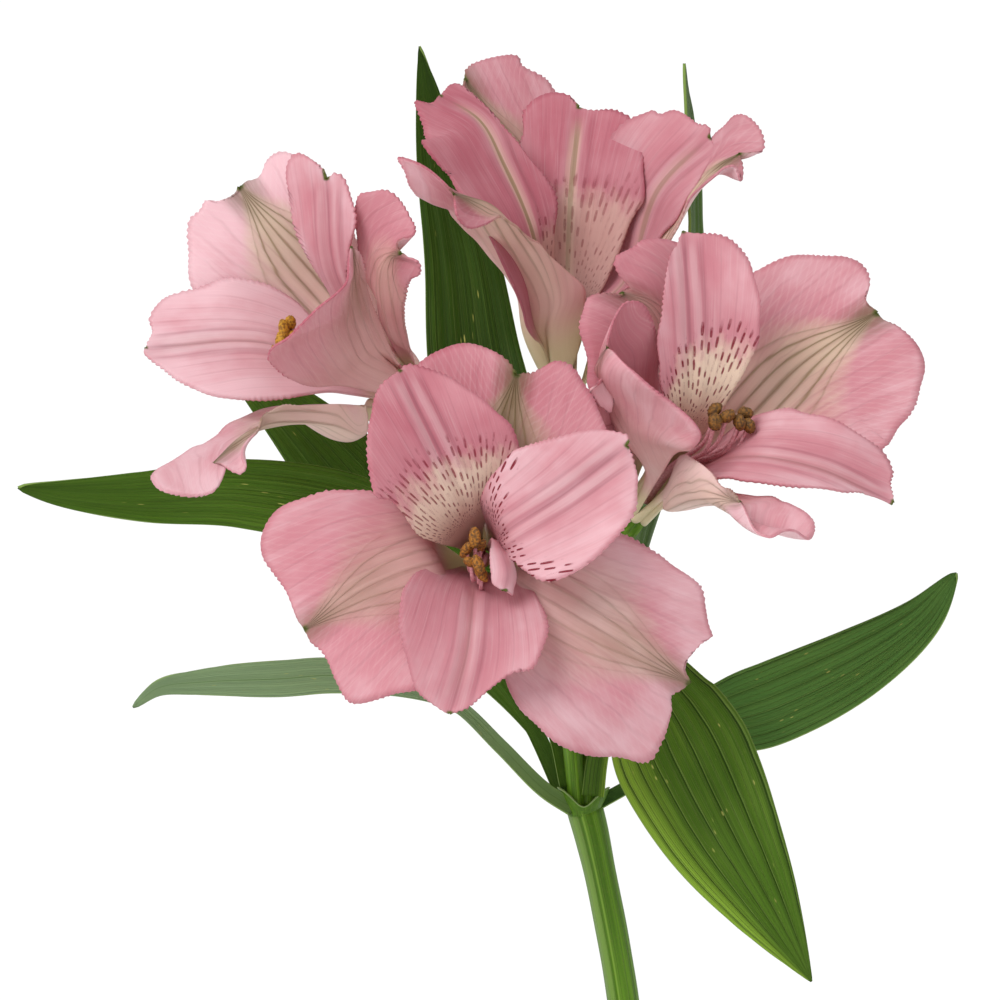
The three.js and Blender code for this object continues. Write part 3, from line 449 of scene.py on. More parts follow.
class Graph:
    """The nodes of one material, and the colour that they have come to."""

    def __init__(self, name: str, ground: str) -> None:
        """Starts a material of that name with a plain ground colour."""
        self.colour: Colour = ground
        self.material = bpy.data.materials.new(name)
        self.material.use_nodes = True
        self.tree = self.material.node_tree
        self.tree.nodes.clear()

    def add(self, kind: str, values: dict, **settings: object) -> bpy.types.Node:
        """Adds a node.

        Args:
            kind: The node's type.
            values: What goes into each input: a number, a colour, a Field or a socket.
            **settings: The node's own settings.

        Returns:
            The node.
        """
        node = self.tree.nodes.new(kind)
        for key, value in settings.items():
            setattr(node, key, value)
        for key, value in values.items():
            socket = node.inputs[key]
            if isinstance(value, Field):
                value = value.socket
            if isinstance(value, Socket):
                self.tree.links.new(value, socket)
            else:
                socket.default_value = value
        return node

    def split(self, vector: Socket) -> tuple[Field, Field, Field]:
        """The three numbers of a vector."""
        node = self.add("ShaderNodeSeparateXYZ", {0: vector})
        x, y, z = (Field(self, out) for out in node.outputs)
        return x, y, z

    def attribute(self, name: str) -> Socket:
        """The vector that a mesh keeps under that name."""
        node = self.add("ShaderNodeAttribute", {}, attribute_name=name)
        return node.outputs["Vector"]

    def place(self) -> Socket:
        """The place on the object, in metres."""
        return self.add("ShaderNodeTexCoord", {}).outputs["Object"]

    def vector(self, x: Number, y: Number, z: Number) -> Socket:
        """A vector of three numbers."""
        return self.add("ShaderNodeCombineXYZ", {0: x, 1: y, 2: z}).outputs[0]

    def noise(self, at: Socket, scale: float, detail: float) -> Field:
        """Soft random clouds between 0 and 1."""
        values = {"Vector": at, "Scale": scale, "Detail": detail}
        return Field(self, self.add("ShaderNodeTexNoise", values).outputs[0])

    def cloud(self, x: Number, y: Number, z: Number, detail: float = 3.0) -> Field:
        """The same clouds over three numbers of the material's own."""
        return self.noise(self.vector(x, y, z), 1.0, detail)

    def cells(self, at: Socket, scale: float) -> Field:
        """The distance to the nearest of many random points."""
        values = {"Vector": at, "Scale": scale}
        return Field(self, self.add("ShaderNodeTexVoronoi", values).outputs[0])

    def chance(self, at: Socket) -> Field:
        """A random number between 0 and 1 for each vector."""
        return Field(self, self.add("ShaderNodeTexWhiteNoise", {"Vector": at}).outputs[0])

    def paint(self, share: Number, colour: str) -> None:
        """Lays a share of a colour over the colour so far."""
        values = {0: share, 6: shade(self.colour), 7: shade(colour)}
        self.colour = self.add("ShaderNodeMix", values, data_type="RGBA").outputs[2]

    def finish(
        self,
        height: Field | None = None,
        depth: float = 0.1,
        glow: float = 0.0,
        **shader: float,
    ) -> bpy.types.Material:
        """Ends the material in a shader of the colour so far.

        Args:
            height: The surface's relief, from 0 to 1.
            depth: How deep the relief is, in millimetres.
            glow: The share of light that the blade lets through.
            **shader: Values of the shader's own sockets, with underscores for spaces.

        Returns:
            The material.
        """
        values: dict = {key.replace("_", " "): value for key, value in shader.items()}
        values["Base Color"] = self.colour
        if height is not None:
            bump = self.add("ShaderNodeBump", {"Height": height, "Distance": depth * MM})
            values["Normal"] = bump.outputs[0]
        surface = self.add("ShaderNodeBsdfPrincipled", values).outputs[0]
        if glow:
            lit_through = self.add("ShaderNodeBsdfTranslucent", {"Color": self.colour})
            both = {0: glow, 1: surface, 2: lit_through.outputs[0]}
            surface = self.add("ShaderNodeMixShader", both).outputs[0]
        self.add("ShaderNodeOutputMaterial", {"Surface": surface})
        return self.material


Colour = str | Socket


def shade(colour: Colour) -> tuple[float, ...] | Socket:
    """A colour written as red, green and blue in hexadecimal, as Blender wants it."""
    if not isinstance(colour, str):
        return colour
    parts = [int(colour[i : i + 2], 16) / 255 for i in (0, 2, 4)]
    linear = [p / 12.92 if p <= 0.04045 else ((p + 0.055) / 1.055) ** 2.4 for p in parts]
    return (*linear, 1.0)


class Side(Enum):
    """Which face of a blade a finish is for."""

    UPPER = "upper"
    UNDER = "under"


class Marking(Enum):
    """What a tepal carries on its face."""

    VEINED = "veined"
    SPOTTED = "spotted"
    PLAIN = "plain"


@dataclass(frozen=True)
class Flat:
    """Where a point of a tepal lies when it is spread flat, and how the tepal looks.

    Attributes:
        w: The place across from -1 to 1.
        a: The share of the length along.
        seed: The tepal's own number.
        x: The distance across in millimetres.
        y: The distance along in millimetres.
        fan: The place across in rays that start behind the claw.
        fibre: Soft streaks along the rays.
        veins: How strong its veins are.
        painted_shade: How much painted shade it carries.
        crease: How strong its folds are, with their painted shade and highlight.
    """

    w: Field
    a: Field
    seed: Field
    x: Field
    y: Field
    fan: Field
    fibre: Field
    veins: Field
    painted_shade: Field
    crease: Field


# The bare numbers of the finishes are shares, and places in the units of Flat
@dataclass(frozen=True)
class TepalFinish:
    """The finish of one face of a tepal.

    Attributes:
        marking: What the tepal carries.
        side: Which face it is.
        rays_from: How far out the rays start that the dashes stand in, in millimetres.
        lanes: How many rays of dashes there are, for a slope of one to one.
        rows: How close the dashes follow one another in a ray.
    """

    marking: Marking
    side: Side
    rays_from: float = 18.5
    lanes: float = 14.0
    rows: float = 3.6
    pale: str = "F4CCD3"
    mid: str = "DD95A0"
    rich: str = "CB7080"
    # deep is the colour of the painted shade on tepals that lie in the shade of others
    deep: str = "935560"
    light: str = "FAE6E6"
    cream: str = "FAE9CF"
    wash: str = "D8C2A0"
    blush: str = "F0CFC0"
    vein: str = "8B7647"
    fold: str = "A65F6C"
    band: str = "79613F"
    dash: str = "86122A"
    throat: str = "CFC793"
    base: str = "D9D3A0"
    point: str = "636D2C"

    def build(self) -> bpy.types.Material:
        """The material."""
        g = Graph(f"tepal_{self.marking.value}_{self.side.value}", self.pale)
        w, a, seed = g.split(g.attribute("blade"))
        x, y, crease = g.split(g.attribute("flat"))
        veins, rich, painted_shade = g.split(g.attribute("tone"))
        fan = x / (y * 0.5 + 7.0)
        fibre = g.cloud(fan * 26, y * 0.035, seed + 7.0)
        flat = Flat(w, a, seed, x, y, fan, fibre, veins, painted_shade, crease)
        under = self.side is Side.UNDER
        side = abs(w)
        broad = g.cloud(x * 0.16, y * 0.1, seed)
        grain = g.cloud(fan * 110, y * 0.09, seed)
        depth = rich + 0.06 - 0.28 * under + (broad - 0.5) * 0.75 + (fibre - 0.5) * 0.3
        depth = depth - side.rise(0.3, 0.9) * 0.16 + side.rise(0.94, 1.0) * 0.16
        g.paint(depth.rise(-0.05, 0.55), self.mid)
        g.paint(depth.rise(0.45, 1.0), self.rich)
        g.paint(grain.rise(0.55, 0.8) * 0.12, self.fold)
        g.paint(grain.rise(0.5, 0.25) * 0.16, self.light)
        if under:
            g.paint(a.rise(0.95, 0.3) * 0.4, self.blush)
        # Painted shade: the deep colour darkens a shaded tepal, most towards its root
        g.paint(painted_shade * (a.rise(1.0, 0.25) * 0.7 + 0.3), self.deep)
        relief = grain * 0.25 + fibre * 0.35
        if self.marking is Marking.VEINED or under:
            relief = relief + self.zone(g, flat, broad) * 0.7
        else:
            relief = relief + self.creases(g, flat) * 0.5
        if self.marking is Marking.SPOTTED and not under:
            relief = relief - self.spots(g, flat) * 0.3
        g.paint(a.rise(0.3, 0.12) * 0.75, self.base if under else self.throat)
        low, wide = (0.978, 1.0) if self.marking is Marking.VEINED else (0.988, 0.7)
        g.paint(a.rise(low, 0.997) * abs(x).rise(wide, 0.2), self.point)
        glow = 0.12 if under else 0.28
        return g.finish(relief, 0.12, glow, Roughness=0.55, Specular_IOR_Level=0.3)

    def zone(self, g: Graph, flat: Flat, broad: Field) -> Field:
        """Paints the soft olive zone along the middle, its veins and the side veins.

        Args:
            g: The material's nodes.
            flat: The tepal's numbers.
            broad: Soft clouds.

        Returns:
            Where the veins are.
        """
        a, x, fibre, veins = flat.a, flat.x, flat.fibre, flat.veins
        clear = veins * veins
        lens = (a.rise(0.0, 0.55) * 4.6 + 1.2) * a.rise(1.03, 0.6) + 0.15
        off = x / lens
        spread = (abs(off) + (broad - 0.5) * 1.4 + (fibre - 0.5) * 1.2).rise(2.4, 0.1)
        g.paint(spread * a.rise(0.1, 0.4) * veins * 0.6, self.cream)
        g.paint(spread * a.rise(0.45, 0.95) * veins * 0.6, self.wash)
        stain = spread * a.rise(0.45, 0.85) * (broad + fibre).rise(0.4, 1.3)
        g.paint(stain * flat.crease, self.band)
        ray = off * 2.5 + (fibre - 0.5) * 0.4
        near = abs(off).rise(1.35, 1.0) * a.rise(0.15, 0.6)
        soft = ray.line(1, 0.36) * near
        lines = ray.line(1, 0.15) * near
        g.paint(soft * clear * 0.26, self.vein)
        g.paint(lines * (clear * 0.5 + 0.07), self.vein)
        slant = abs(x) * 0.75 - flat.y * 0.6 + (fibre - 0.5) * 0.7 + (broad - 0.5) * 2
        feather = slant.line(1, 0.22) * abs(off).rise(0.9, 1.5) * a.rise(0.35, 0.6)
        g.paint(feather * (veins * 0.09 + 0.02), self.light)
        threads = (flat.fan * 9 + (broad - 0.5)).line(1, 0.12) * a.rise(0.3, 0.6)
        g.paint(threads * abs(flat.w).rise(1.0, 0.7) * 0.14, self.fold)
        fan = a.rise(0.82, 0.97) * abs(x).rise(4.5, 0.8) * (fibre.rise(0.3, 0.6) * 0.5 + 0.5)
        g.paint(fan * (veins * 0.5 + 0.3), self.band)
        return lines + soft * 0.5 + threads * 0.3

    def creases(self, g: Graph, flat: Flat) -> Field:
        """Paints painted shade and highlight on the folds beside the middle vein, and its olive part.

        Args:
            g: The material's nodes.
            flat: The tepal's numbers.

        Returns:
            Where the folds are.
        """
        a, x, veins = flat.a, flat.x, flat.veins
        near = a.rise(0.42, 0.7) * a.rise(1.0, 0.93)
        ray = x + (flat.fibre - 0.5) * 1.6
        dark = abs(ray).rise(0.9, 0.0) + abs(abs(ray) - 2.5).rise(0.8, 0.1) * 0.5
        painted_highlight = abs(abs(ray) - 1.4).rise(0.9, 0.1)
        # Painted shade in the folds in the fold colour, and a painted highlight beside them in the light
        # colour
        g.paint(dark * near * flat.crease * 0.55, self.fold)
        g.paint(painted_highlight * near * flat.crease * 0.22, self.light)
        threads = (flat.fan * 11).line(1, 0.1) * a.rise(0.3, 0.6) * abs(flat.w).rise(1.0, 0.7)
        g.paint(threads * 0.14, self.fold)
        middle = abs(ray).rise(1.5, 0.5) * a.rise(0.98, 0.85)
        g.paint(middle * veins * 0.45, self.cream)
        strand = abs(ray).rise(0.55, 0.2) + (abs(ray) - 1.4).line(1, 0.1) * 0.3
        g.paint(strand * veins * middle * 0.75, self.vein)
        return dark * near * 0.5 + threads * 0.3

    def spots(self, g: Graph, flat: Flat) -> Field:
        """Paints the cream patch and its dark dashes, which stand in rays.

        Args:
            g: The material's nodes.
            flat: The tepal's numbers.

        Returns:
            Where the dashes are.
        """
        a, seed, painted_shade = flat.a, flat.seed, flat.painted_shade
        reach, shift, bend = g.split(g.attribute("marks"))
        off = flat.w - shift
        cloud = g.cloud(flat.x * 0.7, flat.y * 0.3, seed)
        far = a + off * off * bend + (cloud - 0.5) * 0.14 - reach
        patch = far.rise(0.03, -0.08) * a.rise(0.1, 0.22) * bend.rise(-0.03, 0.0)
        # The cream patch and the dashes fade where painted shade lies
        patch = patch * (1.0 - painted_shade * 1.8)
        g.paint(patch * 0.95, self.cream)
        out = flat.y - self.rays_from + flat.veins * 11
        lane = flat.x / out * self.lanes
        column = lane.floor()
        shifted = g.chance(g.vector(column, seed, 0.0))
        row_at = (out * out + flat.x * flat.x).log(math.e) * self.rows + shifted * 5
        row = row_at.floor()
        pick = g.chance(g.vector(column, row, seed))
        size = g.chance(g.vector(row, column, seed + 3.0))
        off_row = abs(row_at.fract() - 0.5)
        off_lane = abs(lane.fract() - 0.5 + (pick - 0.5) * 0.4)
        length = size * 0.2 + 0.12 + a.rise(0.35, 0.6) * 0.12
        thick = a.rise(0.2, 0.5) * 0.04 + 0.1 + size * 0.05 - off_row * off_row * 0.4
        mark = (off_row - length).rise(0.04, -0.04) * (off_lane - thick).rise(0.05, -0.03)
        zone = far.rise(0.07, 0.02) * out.rise(2.0, 4.0)
        edge = far.rise(-0.2, -0.02)
        mark = mark * (pick + edge * 0.2 + a.rise(0.5, 0.25) * 0.2).rise(0.42, 0.46) * zone
        g.paint(mark * (0.98 - painted_shade * 1.3), self.dash)
        return mark


@dataclass(frozen=True)
class LeafFinish:
    """The finish of one face of a leaf.

    A leaf's tone says how strong its lines are, from 1 to 2 with painted shade in its furrows and a
    painted highlight on its crests as well, how light it is, and how strong the painted light is
    on a strip along its right margin, or how cool the leaf is if negative.
    """

    side: Side
    deep: str = "2C470C"
    mid: str = "4C701A"
    light: str = "7A9C36"
    line: str = "9DB861"
    pale: str = "9DB594"
    strip: str = "8DB23A"
    cool: str = "5C8C48"
    spot: str = "D2D272"

    def build(self) -> bpy.types.Material:
        """The material."""
        g = Graph(f"leaf_{self.side.value}", self.deep)
        w, a, seed = g.split(g.attribute("blade"))
        veins, light, strip = g.split(g.attribute("tone"))
        broad = g.cloud(w * 1.6, a * 4, seed)
        grain = g.cloud(w * 60, a * 2.5, seed)
        streak = g.cloud(w * 13, a * 1.2, seed, 2)
        depth = light + (broad - 0.5) * 0.6 + (streak - 0.5) * 0.6
        g.paint(depth.rise(0.0, 0.6), self.mid)
        g.paint(depth.rise(0.5, 1.1), self.light)
        g.paint(grain.rise(0.5, 0.8) * 0.22, self.line)
        # Painted light: a lighter strip along the right margin, in the strip colour
        right = (w + (streak - 0.5) * 0.2).rise(0.3, 1.0)
        g.paint(right * strip, self.strip)
        g.paint(strip.rise(0.0, -1.0), self.cool)
        rough = w + (grain - 0.5) * 0.01
        lines = rough.line(9, 0.07)
        fine = rough.line(36, 0.12)
        g.paint(lines * veins * 0.3, self.line)
        g.paint(fine * veins * 0.12, self.deep)
        # Painted shade on one side of each pleat's furrow and a painted highlight on its crest
        pleat = (w * 3.4 + w * w * 0.7 + (broad - 0.5) * 0.3 + 0.55).fract()
        strong = veins.rise(1.0, 2.0)
        painted_furrow_shade = pleat.rise(0.4, 0.0) * 0.6 + pleat.rise(0.08, 0.03)
        painted_furrow_shade = painted_furrow_shade * strong * a.rise(1.0, 0.85)
        g.paint(painted_furrow_shade * 0.6, self.deep)
        crest = pleat.rise(0.9, 0.96) * strong
        g.paint(crest * 0.3, self.line)
        if self.side is Side.UNDER:
            g.paint(a.rise(0.0, 0.4) * 0.4 + 0.2, self.pale)
            g.paint(lines * 0.25 + fine * 0.2, self.mid)
            g.paint(abs(w).rise(0.06, 0.0) * 0.5, self.mid)
        dots = g.cells(g.vector(w * 9, a * 24, seed), 1.0).rise(0.17, 0.07)
        rare = g.cloud(w * 2, a * 7, seed + 5.0, 1).rise(0.55, 0.65)
        g.paint(dots * rare * 0.8, self.spot)
        g.paint(abs(w).rise(0.97, 1.0) * 0.4, self.line)
        relief = grain * 0.3 + lines + fine * 0.3 + streak * 0.6 + crest - painted_furrow_shade
        return g.finish(relief, 0.15, 0.1, Roughness=0.45, Specular_IOR_Level=0.12)


@dataclass(frozen=True)
class StemFinish:
    """The finish of the stem and its stalks."""

    base: str = "638E1C"
    dark: str = "44690F"
    bright: str = "8FB048"
    blush: str = "7C6A42"
    side: str = "84A056"
    rim: str = "9DB476"

    def build(self) -> bpy.types.Material:
        """The material."""
        g = Graph("stem", self.dark)
        w, a, seed = g.split(g.attribute("blade"))
        streak = g.cloud(w * 9, a * 3, seed)
        ridge = (w + (streak - 0.5) * 0.02).line(7, 0.12)
        grain = g.noise(g.place(), 1800.0, 3)
        g.paint(streak.rise(0.3, 0.7), self.base)
        g.paint(streak.rise(0.55, 0.85) * 0.4, self.bright)
        g.paint(ridge * 0.12, self.bright)
        beside = w - GROOVE_ANGLE / math.pi
        main = abs(seed - STEM_SEED).rise(0.5, 0.1)
        turned = beside.rise(0.0, -0.03) * beside.rise(-0.3, -0.2)
        g.paint(turned * main * 0.5, self.side)
        # Painted shade darkens the groove and a painted highlight runs along the ridge beside it
        g.paint(abs(beside).rise(0.05, 0.01) * main * 0.7, self.dark)
        g.paint(abs(beside - 0.06).rise(0.025, 0.01) * main * 0.45, self.bright)
        g.paint(grain.rise(0.5, 0.75) * 0.15, self.blush)
        cup = seed.rise(COLLAR_SEED - 1, COLLAR_SEED)
        g.paint(cup * 0.5, self.dark)
        g.paint(a.rise(0.84, 0.9) * cup * 0.7, self.rim)
        # Painted shade darkens the inside of the cup, where it turns in under the rim
        g.paint(a.rise(0.94, 0.97) * cup * 0.8, self.dark)
        relief = grain * 0.4 + streak + ridge * 0.6
        return g.finish(relief, 0.12, Roughness=0.45, Specular_IOR_Level=0.22)


@dataclass(frozen=True)
class GrainFinish:
    """The finish of a filament, an anther's pollen or a white grain in the soil."""

    name: str
    base: str
    dark: str

    def build(self) -> bpy.types.Material:
        """The material."""
        g = Graph(self.name, self.dark)
        cloud = g.noise(g.place(), 2600.0, 3)
        g.paint(cloud.rise(0.35, 0.65), self.base)
        return g.finish(cloud, 0.2, Roughness=0.7)


@dataclass(frozen=True)
class ClayFinish:
    """The finish of the fired clay pot."""

    base: str = "B5694A"
    dark: str = "96503A"
    dust: str = "D1A48C"

    def build(self) -> bpy.types.Material:
        """The material."""
        g = Graph("fired_clay", self.dark)
        place = g.place()
        _, _, z = g.split(place)
        cloud = g.noise(place, 26.0, 4)
        grit = g.noise(place, 900.0, 3)
        rings = g.cloud(0.0, 0.0, z * 420, 2)
        bloom = g.noise(place, 38.0, 7).rise(0.5, 0.8) * (g.noise(place, 240.0, 4) + 0.3)
        low = (z + (cloud - 0.5) * 0.03).rise(0.03, 0.0)
        g.paint(cloud.rise(0.3, 0.7), self.base)
        g.paint((rings - 0.35) * 0.5, self.dark)
        g.paint(bloom * 0.7 + low * 0.22, self.dust)
        g.paint(grit.rise(0.62, 0.72) * 0.5, self.dark)
        return g.finish(grit * 0.6 + rings * 0.6, 0.35, Roughness=0.85)


@dataclass(frozen=True)
class SoilFinish:
    """The finish of the potting soil."""

    base: str = "33241A"
    dark: str = "1C130D"
    crumb: str = "5A4331"

    def build(self) -> bpy.types.Material:
        """The material."""
        g = Graph("potting_soil", self.dark)
        place = g.place()
        cloud = g.noise(place, 300.0, 5)
        fine = g.noise(place, 1500.0, 4)
        g.paint(cloud.rise(0.35, 0.65), self.base)
        g.paint(fine.rise(0.58, 0.7) * 0.8, self.crumb)
        return g.finish(cloud + fine, 0.8, Roughness=0.95)


GRAINS = {
    "filament": ("E3A9B0", "CF8A92"),
    "pollen_brown": ("8E5F1E", "4E3413"),
    "pollen_amber": ("AE6F1C", "5E3A12"),
    "pollen_yellow": ("C99425", "8A5B16"),
    "white_grain": ("D8D2C4", "A79F90"),
}


class Palette:
    """Every material of the plant, each built once."""

    def __init__(self) -> None:
        """Builds the materials."""
        self.tepal = {
            (marking, side): TepalFinish(marking, side).build()
            for marking in Marking
            for side in Side
        }
        self.leaf = {side: LeafFinish(side).build() for side in Side}
        self.stem = StemFinish().build()
        self.grains = {name: GrainFinish(name, *tones).build() for name, tones in GRAINS.items()}
        self.clay = ClayFinish().build()
        self.soil = SoilFinish().build()


@dataclass(frozen=True)
class Blade:
    """A thin leaf or tepal bent along a rib.

    Attributes:
        path: Points that the rib runs through.
        left: Half the width to the left of the rib.
        right: Half the width to the right of it.
        cup: How far each half bends up across, in degrees, from root to tip.
        twist: How far the face turns about the rib, in degrees, from root to tip.
        wave: The height of the waves at the margin.
        waves: How many half waves there are.
        phase: Where the waves start, in radians.
        flutter: The height of the margin's uneven ripple.
        cup_right: The same as cup for the right half, where it differs.
        tone: Three numbers that its material reads: how strong its veins are, how rich its
            colour is and how much painted shade it carries.
        marks: Three more on its spots: the share of the length that they reach to, where
            across their middle is and how much less far they reach at the margins.
        crease: How strong the lines of its folds are, with their painted shade and highlight.
        thickness: The blade's thickness.
        rows: Faces from root to tip.
        columns: Faces across.
        seed: The number that its random lines come from.
    """

    path: Line
    left: float = 10.0
    right: float = 10.0
    cup: tuple[float, ...] = (50, 14, 10, 10)
    twist: tuple[float, ...] = (0, 0)
    wave: float = 0.0
    waves: float = 2.0
    phase: float = 0.0
    flutter: float = 0.0
    cup_right: tuple[float, ...] = ()
    tone: Point = (1, 0.5, 0)
    marks: Point = (0.6, 0, 0.1)
    crease: float = 0.5
    thickness: float = 0.4
    rows: int = 100
    columns: int = 24
    seed: int = 0

    def outline(self, length: float, t: Array, w: Array) -> tuple[Array, Array]:
        """Where a point of the blade lies when it is spread flat.

        Args:
            length: The rib's length.
            t: The share of the way from root to tip.
            w: The place across from -1 to 1.

        Returns:
            The distance across from the rib, and the share of the length along it.
        """
        raise NotImplementedError

    def relief(self, across: Array, along: Array, w: Array) -> Array:
        """How far the face stands up from its smooth form."""
        return np.zeros_like(across)

    def surface(self, rib: Rib, t: Array, w: Array) -> tuple[Array, Array, Array]:
        """Bends the blade along a rib.

        Args:
            rib: The line that it is bent along.
            t: The share of the way from root to tip.
            w: The place across from -1 to 1.

        Returns:
            Each point's place, its share of the length along the rib and how far across from
            it the point lies in millimetres.
        """
        across, along = self.outline(rib.length, t, w)
        place, face = self.bent(rib, across, along)
        ripple = np.sin(self.waves * math.pi * along + self.phase + np.sign(w))
        lift = self.wave * w * w * along * ripple + self.loose(rib, along, w)
        lift = lift + self.relief(across, along, w)
        return place + face * lift[:, None], along, across

    def loose(self, rib: Rib, along: Array, w: Array) -> Array:
        """How far the uneven ripple of the margins lifts each point."""
        line = wander(along * rib.length + (w > 0) * OTHER_SIDE, RIPPLE_PITCH, self.seed + 40)
        return self.flutter * line * np.abs(w) ** 3 * smooth(along, 0.3, 0.6)

    def bent(self, rib: Rib, across: Array, along: Array) -> tuple[Array, Array]:
        """Bends points of the flat blade along a rib, each half in an even curve across.

        Args:
            rib: The line that it is bent along.
            across: The distance from the rib, with a sign.
            along: The share of the length along the rib.

        Returns:
            Each point's place, and where the rib's face looks there.
        """
        turn = np.radians(through(self.twist, along))
        place, face, side = rib.at(along, turn)
        half = np.where(across < 0, self.left, self.right)
        cups = through(self.cup, along), through(self.cup_right or self.cup, along)
        bend = np.radians(np.where(across < 0, *cups)) / half
        bend = np.where(np.abs(bend) < 1e-6, 1e-6, bend)
        lift = (1 - np.cos(bend * across)) / bend
        offset = np.sin(bend * across) / bend
        return place + side * offset[:, None] + face * lift[:, None], face

    def build(
        self,
        name: str,
        rib: Rib,
        space: Array,
        faces: tuple[bpy.types.Material, bpy.types.Material],
    ) -> bpy.types.Object:
        """Makes the blade.

        Args:
            name: The object's name.
            rib: The line that it is bent along.
            space: The space that the rib is given in.
            faces: The materials of the upper and the under face.

        Returns:
            The object.
        """
        obj, t, w = Shaper.sheet(name, self.rows, self.columns)
        places, along, across = self.surface(rib, t, w)
        Shaper.bend(obj, places, space)
        Shaper.note(obj, "blade", w, along, self.seed)
        Shaper.note(obj, "flat", across, along * rib.length, self.crease)
        Shaper.note(obj, "tone", *self.tone)
        Shaper.note(obj, "marks", *self.marks)
        Shaper.weld(obj)
        for material in faces:
            obj.data.materials.append(material)
        Shaper.thicken(obj, self.thickness)
        return obj


